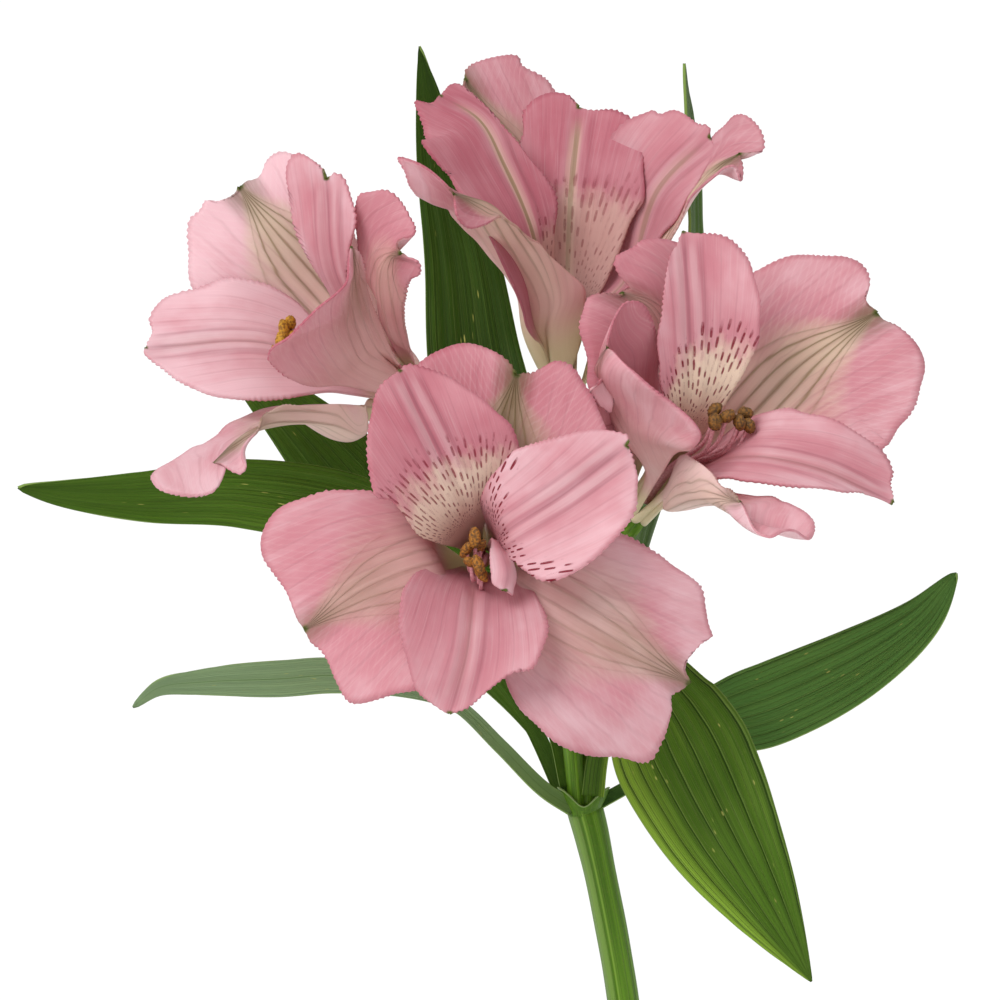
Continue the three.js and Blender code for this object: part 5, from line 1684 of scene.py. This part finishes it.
LEAVES = {
    "tall_left": Leaf(
        path=(
            (-0.6, 3, 2), (-3.6, 9.5, 19.5), (-11.5, 22, 46), (-17.5, 32, 69.5), (-20, 35, 88),
            (-24, 36, 106.5), (-27, 35, 123.5),
        ),
        left=8.7, right=8.7, face=(0, -1, 0), swell=0.8, taper=0.8, tone=(1, 0.1, 0),
    ),
    "tall_right": Leaf(
        path=(
            (2, 2.4, 1), (4.5, 9.5, 18.5), (9.5, 20, 44), (14, 26, 59.5), (18, 30, 81), (18.5, 33, 101),
            (17, 32, 120.5),
        ),
        left=7, right=7, face=(1, -0.2, 0), tone=(1, 0.35, 0),
    ),
    "far_left": Leaf(
        path=(
            (-2.8, -0.6, 1.4), (-5.6, 2, 12), (-20, 5, 33.5), (-35, 5, 44.5), (-55.5, 4, 49),
            (-71.5, 3, 48.5), (-84.5, 1, 49), (-92, 0, 50),
        ),
        left=6.6, right=6.6, face=(0, -1, 0.4), tone=(1, 0.4, 0),
    ),
    "left": Leaf(
        path=(
            (-2.9, 1.1, -0.6), (-8.5, 5.4, 11.5), (-18.5, 11, 28.5), (-37, 15.5, 50), (-46.5, 17, 60.5),
            (-58.5, 18, 71),
        ),
        left=9, right=9, face=(0, -1, 0), tone=(1.5, 0.5, -0.15),
    ),
    "low_left": Leaf(
        path=(
            (-1.6, -1.4, -2.2), (-6.5, -2, 1), (-13.5, -3, 8), (-21, -4, 15), (-29, -4, 18),
            (-41, -4, 19.5), (-49, -5, 19), (-61.5, -6, 18.5), (-69, -6, 17.5), (-73, -6, 14.5),
        ),
        left=3.7, right=3.7, claw=0.36, stalk=0.8, face=(0, -1, 0.2), flipped=True, pleat=0.04,
        tone=(0.6, 0.8, 0),
    ),
    "low_right": Leaf(
        path=(
            (1.5, -2.4, 0), (2.2, -4.5, 6), (4.2, -8, 15), (8.5, -12, 19.5), (12.6, -14, 13.5),
            (15.8, -15.5, 7), (21.8, -17, -5), (28.6, -17, -16.5), (36.5, -15, -29.5),
        ),
        right=11.3, left=11.3, stalk=0.5, taper=0.9, twist=(0, -55, -65, -65), face=(0, -1, 0), pleat=0.25,
        tone=(2, 0.6, 1),
    ),
    "far_right": Leaf(
        path=(
            (2.2, 0, -1.4), (9, 2, 2.5), (19, 4, 10.5), (31.5, 5, 15), (45, 6, 21.5), (55, 6.5, 28.5),
            (61, 7, 36),
        ),
        left=7, right=7, face=(0, -1, 0.3), tone=(1.55, 0.62, -0.55),
    ),
}  # fmt: skip


@dataclass(frozen=True)
class Tube:
    """A round stalk along a line.

    Attributes:
        path: Points that its middle runs through.
        start: The radius at its root.
        end: The radius at its tip.
        ridges: How many ridges run along it.
        ridge: Their height as a share of the radius.
        rows: Faces from root to tip.
        columns: Faces round it.
        seed: The number that its random lines come from.
    """

    path: Line
    start: float
    end: float
    ridges: int = 0
    ridge: float = 0.0
    rows: int = 24
    columns: int = 12
    seed: int = 0

    def radius(self, t: Array, angle: Array) -> Array:
        """The radius by share of the length and angle round the middle."""
        plain = self.start + (self.end - self.start) * t
        return plain * (1 + self.ridge * np.cos(self.ridges * angle))

    def rise(self, t: Array, angle: Array) -> Array:
        """How far a point stands above its place along the middle."""
        return np.zeros_like(t)

    def build(self, name: str, space: Array, material: bpy.types.Material) -> bpy.types.Object:
        """Makes the stalk, closed at both ends.

        Args:
            name: The object's name.
            space: The space that the path is given in.
            material: Its material.

        Returns:
            The object.
        """
        points = np.array(self.path, float)
        first = unit(points[1] - points[0])
        aside = (0.0, -1.0, 0.0) if abs(first[1]) < 0.9 else (0.0, 0.0, 1.0)
        rib = Rib.along(points, np.array(aside))
        obj, t, w = Shaper.sheet(name, self.rows, self.columns)
        place, face, side = rib.at(t, np.zeros_like(t))
        angle = math.pi * w
        radius = self.radius(t, angle)[:, None]
        round_it = face * np.cos(angle)[:, None] + side * np.sin(angle)[:, None]
        place = place + round_it * radius
        place[:, 2] += self.rise(t, angle)
        Shaper.bend(obj, place, space)
        Shaper.note(obj, "blade", w, t, self.seed)
        Shaper.weld(obj, caps=True)
        obj.data.materials.append(material)
        return obj


@dataclass(frozen=True)
class MainStem(Tube):
    """The main stem, with a groove and a ridge along its front and a wider top.

    Attributes:
        groove: The groove's depth as a share of the radius.
        crest: The same for the ridge's height.
        crest_turn: The angle from the groove to the ridge.
        swell: How much wider the top is.
        height: The stem's length, for its random unevenness.
    """

    groove: float = 0.09
    crest: float = 0.05
    crest_turn: float = 0.2
    swell: float = 0.16
    height: float = 170.0

    def radius(self, t: Array, angle: Array) -> Array:
        """The radius by share of the length and angle round the middle."""
        wide = self.start * (1 + self.swell * smooth(t, 0.93, 1.0) + 0.02 * np.cos(3 * angle + 1))
        off = angle - GROOVE_ANGLE
        cut = self.groove * np.exp(-((off / 0.13) ** 2))
        crest = self.crest * np.exp(-(((off - self.crest_turn) / 0.12) ** 2))
        return wide * (1 - cut + crest + 0.012 * wander(t * self.height, 6, self.seed))


@dataclass(frozen=True)
class Ovary(Tube):
    """The ribbed green ovary under a bloom."""

    def radius(self, t: Array, angle: Array) -> Array:
        """The radius by share of the length and angle round the middle."""
        full = np.sin(math.pi / 2 * np.minimum(1, 1.5 * t))
        plain = self.start + (self.end - self.start) * full
        rib = np.abs(np.sin(3 * angle)) ** 0.7
        return plain * (1 - 0.16 * rib * smooth(t, 0.0, 0.3))


@dataclass(frozen=True)
class Collar(Tube):
    """The shallow cup of fused leaf bases round the stem's top node."""

    def radius(self, t: Array, angle: Array) -> Array:
        """The radius by share of the length and angle round the middle."""
        flare = smooth(t, 0.0, 0.9)
        aside = np.sin(angle) ** 2
        lip = 0.12 * np.exp(-(((t - 0.9) / 0.04) ** 2))
        cup = self.start + (self.end - self.start) * flare * (0.25 + 0.75 * aside) + lip
        return cup * (1 - 0.8 * smooth(t, 0.92, 1.0))

    def rise(self, t: Array, angle: Array) -> Array:
        """The rim dips at the front and the back, between the leaf bases."""
        dip = 1.6 * np.sin(angle) ** 2 - 1.5 * np.cos(angle) ** 4
        return dip * smooth(t, 0.0, 0.9) - (2.2 + dip) * smooth(t, 0.93, 1.0)


STEM_PATH = (
    (0, 0, 70), (0, 0, 86), (0, 0, 102), (-1.2, -0.6, 130),
    (-4, -2.4, 170), (-7.8, -3.6, 208), (-12.6, -1, 233), (-14, 0, 240),
)  # fmt: skip
STEM_END = (-13.87, -0.1, 237.8)  # inside the collar, just below the node
STALKS = {
    "front": ((-1, 0, -2), (-2.6, -1.2, 12), (-8, -3, 27)),
    "right": ((0.6, 0.6, -2), (2.2, 2, 12), (3.8, 10, 28)),
    "left": ((-0.8, 0.6, -2), (-2.4, 3, 12), (-10, 11, 38)),
    "top": ((0, 0.6, -2), (-0.2, 3.6, 12), (-2.6, 16, 38)),
}


class FlowerStem:
    """The stem, its node, and each bloom's stalk and ovary."""

    def build(self, palette: Palette) -> bpy.types.Object:
        """Makes them as one piece."""
        green = palette.stem
        path = (*STEM_PATH[:-1], STEM_END)
        main = MainStem(path, STEM_RADIUS, STEM_RADIUS, rows=120, columns=48, seed=STEM_SEED)
        parts = [main.build("main_stem", POT_SPACE, green)]
        ring = ((0, 0, -3.4), (0, 0, -2), (0, 0, 0))
        collar = Collar(ring, 2.5, 4.2, rows=90, columns=72, seed=COLLAR_SEED)
        parts.append(collar.build("collar", HEAD_SPACE, green))
        for i, bloom in enumerate(BLOOMS):
            top = -CUP_DEPTH - SEAT_GAP
            foot = top - OVARY_LENGTH
            path = (*STALKS[bloom.name], bloom.along(foot - 2), bloom.along(foot + 2))
            stalk = Tube(
                path, STALK_RADIUS * 1.15, STALK_RADIUS * 0.95, ridges=3, ridge=0.07,
                rows=60, columns=18, seed=20 + i,
            )  # fmt: skip
            parts.append(stalk.build(f"stalk_{i}", HEAD_SPACE, green))
            path = tuple(bloom.along(height) for height in (foot, (foot + top) / 2, top))
            ovary = Ovary(path, STALK_RADIUS, OVARY_RADIUS, rows=20, columns=36, seed=30 + i)
            parts.append(ovary.build(f"ovary_{i}", HEAD_SPACE, green))
        return dress(Shaper.join("flower_stem", parts), "stem")


@dataclass(frozen=True)
class Stamens:
    """A bloom's six stamens, on a small disc.

    Attributes:
        bloom: The bloom that they stand in.
        sag: How far the filaments hang below the straight way to the anthers.
        neck: How far from its anther a filament bends.
        root: How far from the axis a filament starts.
        thick: A filament's radius at its foot.
        thin: The same at its anther.
    """

    bloom: Bloom
    sag: Point = (0, 0, -3)
    neck: float = 4.0
    root: float = 0.5
    thick: float = 0.5
    thin: float = 0.3

    def build(self, palette: Palette) -> bpy.types.Object:
        """Makes them as one piece."""
        bloom = self.bloom
        up = unit(np.array(bloom.axis))
        foot = CUP_HEIGHT + SEAT_GAP
        disc = Tube((bloom.along(foot), bloom.along(foot + 1.6)), 1.1, 0.8, rows=4)
        parts = [disc.build("disc", HEAD_SPACE, palette.grains["filament"])]
        for i, anther in enumerate(bloom.anthers):
            end = np.array(anther, float)
            reach = end - np.array(bloom.base)
            aside = unit(reach - up * reach.dot(up)) * self.root
            way = unit(end - bloom.along(TUBE_LENGTH))
            bend = end - way * self.neck + np.array(self.sag)
            mouth = bloom.along(TUBE_LENGTH + 1) + aside * 2
            path = (bloom.along(foot + 1) + aside, mouth, bend, end)
            filament = Tube(path, self.thick, self.thin, rows=36, columns=10, seed=i)
            parts.append(filament.build(f"filament_{i}", HEAD_SPACE, palette.grains["filament"]))
            parts.append(self.anther(i, end, palette))
        piece = Shaper.join(f"{bloom.name}_stamens", parts)
        return dress(piece, f"stamens_{bloom.name}")

    def anther(self, number: int, place: Array, palette: Palette) -> bpy.types.Object:
        """Makes one anther: two rounded halves with a seam, rough with pollen."""
        Shaper.clear_selection()
        bpy.ops.mesh.primitive_uv_sphere_add(segments=20, ring_count=12, radius=1)
        obj = bpy.context.object
        ball = Shaper.corners(obj)
        seam = np.exp(-((ball[:, 0] / 0.25) ** 2)) * (1 - ball[:, 2] ** 2)
        rough = 1 + 0.09 * wander(ball @ np.array([7.1, 5.3, 9.7]) + 40, 1.1, number + 60)
        ball = ball * (rough - 0.22 * seam)[:, None] * np.array(self.bloom.anther_size)
        spin = np.random.default_rng(number + len(self.bloom.name)).uniform(-0.5, 0.5, 2)
        turn = Matrix.Rotation(spin[0] * 3, 3, "Z") @ Matrix.Rotation(spin[1] * 2, 3, "X")
        lean = Vector(self.bloom.axis) * 0.4 + Vector((0, 0, 1))
        up = lean.to_track_quat("Z", "Y").to_matrix()
        ball = ball @ np.array(up @ turn).T
        Shaper.bend(obj, ball + place, HEAD_SPACE)
        obj.data.materials.append(palette.grains[self.bloom.pollen])
        return obj


def arch_leaf(
    foot: Point,
    turn: float,
    length: float,
    away: float,
    half: float,
    rise: float = 1.0,
    **more: object,
) -> Leaf:
    """A leaf that leaves a stalk upwards and arches over, its upper face up.

    Args:
        foot: Where it leaves.
        turn: The compass turn that it leans towards, in degrees.
        length: Its length.
        away: How far from the stalk's middle it starts.
        half: Half its width.
        rise: How high it rises for its length.
        **more: The leaf's other values.

    Returns:
        The leaf.
    """
    out = np.array([math.cos(math.radians(turn)), math.sin(math.radians(turn)), 0.0])
    path = [np.array(foot) + out * away]
    for reach, height in ((0.2, 0.22), (0.5, 0.46), (0.8, 0.5), (1, 0.4)):
        run = away + reach * length * 0.8
        path.append(np.array(foot) + out * run + [0, 0, height * length * rise])
    return Leaf(path=tuple(path), left=half, right=half, face=-out, **more)


GOLDEN_TURN = 137.5  # between a shoot's leaves, in degrees
STEM_LEAVES = ((174, 200, 58), (160, 335, 64), (140, 85, 62), (122, 190, 46))  # foot, turn, length
STEM_LEAF_HALF = 6.5
SHOOT_LEAF_HALF = 4.6
LOW_LEAF = 12.0  # from the soil to a shoot's lowest leaf


class StemLeaves:
    """The leaves of the lower stem."""

    def build(self, palette: Palette) -> None:
        """Makes each as a piece of its own."""
        line, _ = Rib.curve(np.array(STEM_PATH, float), 400)
        for i, (height, turn, length) in enumerate(STEM_LEAVES):
            foot = line[np.argmin(np.abs(line[:, 2] - height))]
            fine = {"rows": 70, "columns": 28, "seed": 50 + i}
            leaf = arch_leaf(foot, turn, length, STEM_RADIUS - 0.2, STEM_LEAF_HALF, **fine)
            part = leaf.make(f"stem_blade_{i}", POT_SPACE, palette)
            dress(Shaper.join(f"lower_leaf_{i + 1}", [part]), f"stem_leaf_{i + 1}")


@dataclass(frozen=True)
class Shoot:
    """A young shoot out of the soil.

    Attributes:
        number: Its number.
        at: Where it stands.
        height: Its height above the soil.
        turn: Where its first leaf points, in degrees.
        leaves: How many leaves it has.
        depth: How deep its stalk stands in the soil.
    """

    number: int
    at: tuple[float, float]
    height: float
    turn: float
    leaves: int = 7
    depth: float = 16.0

    def build(self, palette: Palette) -> bpy.types.Object:
        """Makes the shoot as one piece."""
        x, y = self.at
        top = SOIL_TOP + self.height * 0.62
        path = ((x, y, SOIL_TOP - self.depth), (x, y, (SOIL_TOP + top) / 2), (x, y, top))
        stalk = Tube(path, 1.9, 1.2, ridges=3, ridge=0.06, rows=30, columns=18, seed=self.number)
        parts = [stalk.build("shoot_stalk", POT_SPACE, palette.stem)]
        for i in range(self.leaves):
            share = i / (self.leaves - 1)
            swell = math.sin(math.pi * share * 0.8)
            foot = (x, y, SOIL_TOP + LOW_LEAF + (top - 1 - SOIL_TOP - LOW_LEAF) * share)
            turn = self.turn + i * GOLDEN_TURN
            length = self.height * (0.45 + 0.17 * swell)
            rise = 0.8 + 0.8 * share
            fine = {"rows": 36, "columns": 16, "seed": 70 + 9 * self.number + i}
            leaf = arch_leaf(foot, turn, length, 0.6, SHOOT_LEAF_HALF, rise, **fine)
            parts.append(leaf.make(f"shoot_blade_{i}", POT_SPACE, palette))
        piece = Shaper.join(f"young_shoot_{self.number}", parts)
        return dress(piece, f"shoot_{self.number}")


SHOOTS = (
    Shoot(1, (31, 12), 54, 20),
    Shoot(2, (-27, 22), 60, 140),
    Shoot(3, (-12, -33), 44, 260),
)


@dataclass(frozen=True)
class Pot:
    """The thrown clay pot with its collar-like rim and three drain holes."""

    sides: int = 128

    def wall(self, z: float) -> float:
        """The outer radius of the body at a height."""
        slope = (POT_MOUTH_RADIUS - RIM_PROUD - POT_FOOT_RADIUS) / POT_HEIGHT
        return POT_FOOT_RADIUS + slope * z

    def profile(self) -> list[tuple[float, float]]:
        """Radius and height of each ring, from the foot up, over the rim and down inside."""
        foot = POT_HEIGHT - RIM_HEIGHT
        neck = self.wall(foot)
        mouth = self.wall(POT_HEIGHT) - POT_WALL
        inner = [(self.wall(z) - POT_WALL, z) for z in (96.0, 60.0, 24.0, POT_FLOOR + 3)]
        body = [(self.wall(z) - 0.02, z) for z in (14.0, 32.0, 50.0, 68.0)]
        return [
            (POT_FOOT_RADIUS - 1.5, 0.0),
            (POT_FOOT_RADIUS - 0.4, 0.4),
            (POT_FOOT_RADIUS, 1.5),
            *body,
            (neck, foot - 0.6),
            (neck + 0.8, foot + 0.1),
            (neck + RIM_PROUD - 0.7, foot + 0.5),
            (neck + RIM_PROUD, foot + 1.6),
            (POT_MOUTH_RADIUS - 0.5, POT_HEIGHT - 6),
            (POT_MOUTH_RADIUS, POT_HEIGHT - 1.6),
            (POT_MOUTH_RADIUS - 0.5, POT_HEIGHT - 0.4),
            (POT_MOUTH_RADIUS - 1.6, POT_HEIGHT),
            (mouth + 1.4, POT_HEIGHT),
            (mouth + 0.3, POT_HEIGHT - 0.5),
            (mouth, POT_HEIGHT - 1.6),
            *inner,
            (self.wall(POT_FLOOR) - POT_WALL - 2.5, POT_FLOOR),
        ]

    def build(self, palette: Palette) -> bpy.types.Object:
        """Makes the pot: one ring drawn up into the wall, then three holes cut."""
        rings = self.profile()
        Shaper.clear_selection()
        bpy.ops.mesh.primitive_circle_add(
            vertices=self.sides, radius=rings[0][0] * MM, fill_type="NGON", location=(0, 0, 0)
        )
        obj = bpy.context.object
        bpy.ops.object.mode_set(mode="EDIT")
        bpy.ops.mesh.select_all(action="SELECT")
        for (r0, z0), (r1, z1) in zip(rings, rings[1:]):
            bpy.ops.mesh.extrude_region_move(
                TRANSFORM_OT_translate={"value": (0, 0, (z1 - z0) * MM)}
            )
            share = r1 / r0
            bpy.ops.transform.resize(value=(share, share, 1), center_override=(0, 0, 0))
        bpy.ops.mesh.select_all(action="SELECT")
        bpy.ops.mesh.normals_make_consistent(inside=False)
        bpy.ops.object.mode_set(mode="OBJECT")
        for turn in DRAIN_TURNS:
            self.drill(obj, math.radians(turn))
        obj.data.materials.append(palette.clay)
        obj.name = obj.data.name = "clay_pot"
        Shaper.pick(obj)
        bpy.ops.object.shade_smooth_by_angle(angle=math.radians(50))
        return dress(obj, "pot")

    def drill(self, obj: bpy.types.Object, turn: float) -> None:
        """Cuts one drain hole through the floor."""
        place = (DRAIN_REACH * math.cos(turn) * MM, DRAIN_REACH * math.sin(turn) * MM, 0)
        Shaper.clear_selection()
        bpy.ops.mesh.primitive_cylinder_add(
            vertices=40, radius=DRAIN_RADIUS * MM, depth=4 * POT_FLOOR * MM, location=place
        )
        tool = bpy.context.object
        Shaper.pick(obj)
        cut = obj.modifiers.new("drain", "BOOLEAN")
        cut.operation = "DIFFERENCE"
        cut.solver = "EXACT"
        cut.object = tool
        bpy.ops.object.modifier_apply(modifier=cut.name)
        bpy.data.objects.remove(tool)


@dataclass(frozen=True)
class Soil:
    """The potting soil: a lumpy top strewn with crumbs.

    Attributes:
        crumbs: How many crumbs there are.
        crumb: A large crumb's radius.
        white: The share of them that are white grains.
        settled: How far the lumpy top's middle height lies below the part's plain top.
        edge_drop: How far below that plain top the soil meets the pot.
        rows: Faces from the middle of the top to the middle of the foot.
        columns: Faces round it.
    """

    crumbs: int = 1500
    crumb: float = 1.5
    white: float = 0.06
    settled: float = 1.6
    edge_drop: float = 4.0
    rows: int = 90
    columns: int = 180

    def inner(self, z: float) -> float:
        """The soil's radius at a height, just inside the pot's wall."""
        return Pot().wall(z) - POT_WALL - SEAT_GAP

    def height(self, x: Array, y: Array) -> Array:
        """The height of the top."""
        reach = np.hypot(x, y)
        lumps = [
            lump(x[i] * 0.16, y[i] * 0.16) * 1.4 + lump(x[i] * 0.5, y[i] * 0.5 + 9) * 0.7
            for i in range(len(x))
        ]
        return SOIL_TOP - self.settled + np.array(lumps) - 1.2 * smooth(reach, 30, 49)

    def build(self, palette: Palette) -> bpy.types.Object:
        """Makes the soil as one piece."""
        obj, t, w = Shaper.sheet("soil_body", self.rows, self.columns)
        brim = SOIL_TOP - self.edge_drop
        floor = POT_FLOOR + SEAT_GAP
        angle = math.pi * w
        radius = np.interp(t, [0, 0.8, 0.9, 1], [0, self.inner(brim), self.inner(floor), 0])
        x, y = radius * np.cos(angle), radius * np.sin(angle)
        below = np.interp(t, [0.8, 0.9, 1], [brim, floor, floor])
        z = np.where(t <= 0.801, self.height(x, y), below)
        Shaper.bend(obj, np.stack([x, y, z], axis=1), POT_SPACE)
        Shaper.weld(obj, near=0.02, caps=True)
        obj.data.materials.append(palette.soil)
        crumbs = self.strew(palette)
        return dress(Shaper.join("potting_soil", [obj, crumbs]), "soil")

    def strew(self, palette: Palette) -> bpy.types.Object:
        """Strews crumbs of soil and a few white grains over the top."""
        Shaper.clear_selection()
        bpy.ops.mesh.primitive_ico_sphere_add(subdivisions=1, radius=1)
        obj = bpy.context.object
        ball = Shaper.corners(obj)
        faces = np.array([list(p.vertices) for p in obj.data.polygons])
        rng = np.random.default_rng(5)
        room = self.inner(SOIL_TOP - self.edge_drop) - self.crumb
        reach = np.sqrt(rng.uniform(0, 1, self.crumbs)) * room
        angle = rng.uniform(0, 2 * math.pi, self.crumbs)
        x, y = reach * np.cos(angle), reach * np.sin(angle)
        size = rng.uniform(0.35, 1.0, self.crumbs) ** 2 * self.crumb
        z = self.height(x, y) + size * 0.2
        places = np.stack([x, y, z], axis=1)
        lumpy = ball[None] * rng.uniform(0.6, 1.2, (self.crumbs, len(ball), 1))
        spun = lumpy * rng.uniform(0.7, 1.3, (self.crumbs, 1, 3)) * size[:, None, None]
        verts = (places[:, None] + spun).reshape(-1, 3) * MM
        firsts = np.arange(self.crumbs) * len(ball)
        every = (faces[None] + firsts[:, None, None]).reshape(-1, 3)
        mesh = bpy.data.meshes.new("crumbs")
        mesh.from_pydata(verts.tolist(), [], every.tolist())
        mesh.materials.append(palette.soil)
        mesh.materials.append(palette.grains["white_grain"])
        white = np.repeat(rng.uniform(0, 1, self.crumbs) < self.white, len(faces))
        mesh.polygons.foreach_set("material_index", white.astype(np.int32))
        obj.data = mesh
        return obj


def dress(piece: bpy.types.Object, node: str) -> bpy.types.Object:
    """Hangs a finished piece on the body, hides the node's part that it stands for, and logs it.

    Args:
        piece: The piece.
        node: The node that it stands for.

    Returns:
        The piece.
    """
    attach(piece, BODY)
    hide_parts(node)
    piece.data.calc_loop_triangles()
    LOG.info("%s: %d triangles", piece.name, len(piece.data.loop_triangles))
    return piece


@dataclass(frozen=True)
class Studio:
    """The floor, the light and the camera.

    Attributes:
        distance: From the camera to the middle of the blooms.
        lens: The focal length for the camera's 36 mm sensor.
        aim: The point of the head that is in the picture's middle.
        sun: The soft lamp's strength.
        sun_turn: How the lamp is turned, in degrees.
        softness: The lamp's width in the sky, in degrees.
        sky: The strength of the light from all round.
    """

    distance: float = 1500.0
    lens: float = 337.5
    aim: Point = (-13.6, -25.0, 48.0)
    sun: float = 1.85
    sun_turn: Point = (42, -16, -28)
    softness: float = 35.0
    sky: float = 0.7

    def build(self) -> None:
        """Makes all three."""
        Shaper.clear_selection()
        bpy.ops.mesh.primitive_plane_add(size=30)
        floor = bpy.context.object
        floor.name = "floor"
        paper = Graph("floor_paper", "F8F8F8")
        paper.paint(paper.noise(paper.place(), 40.0, 2), "FBFBFB")
        floor.data.materials.append(paper.finish(Roughness=0.9))

        world = bpy.data.worlds.new("studio")
        bpy.context.scene.world = world
        world.use_nodes = True
        sky = world.node_tree.nodes["Background"]
        sky.inputs["Color"].default_value = (1, 1, 1, 1)
        sky.inputs["Strength"].default_value = self.sky

        turn = tuple(math.radians(angle) for angle in self.sun_turn)
        bpy.ops.object.light_add(type="SUN", rotation=turn)
        lamp = bpy.context.object
        lamp.name = "soft_lamp"
        lamp.data.energy = self.sun
        lamp.data.angle = math.radians(self.softness)

        x, y, z = self.aim
        spot = np.array([x, y - self.distance, z])
        spot = (spot @ HEAD_SPACE[:3, :3].T + HEAD_SPACE[:3, 3]) * MM
        level = math.radians(90)
        bpy.ops.object.camera_add(location=tuple(spot), rotation=(level - HEAD_LEAN, 0, 0))
        camera = bpy.context.object
        camera.name = "camera"
        camera.data.sensor_width = 36
        camera.data.lens = self.lens
        camera.data.clip_end = 100
        bpy.context.scene.camera = camera
        bpy.context.scene.view_settings.view_transform = "Standard"


def main() -> None:
    """Builds the plant, its pot and the studio."""
    logging.basicConfig(level=logging.INFO, format="%(name)s: %(message)s")
    palette = Palette()
    for bloom in BLOOMS:
        bloom.build(palette)
        Stamens(bloom).build(palette)
    for name, leaf in LEAVES.items():
        part = leaf.make(f"{name}_blade", HEAD_SPACE, palette)
        dress(Shaper.join(f"{name}_leaf", [part]), f"leaf_{name}")
    FlowerStem().build(palette)
    StemLeaves().build(palette)
    for shoot in SHOOTS:
        shoot.build(palette)
    Pot().build(palette)
    Soil().build(palette)
    Studio().build()
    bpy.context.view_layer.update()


if __name__ == "__main__":
    main()
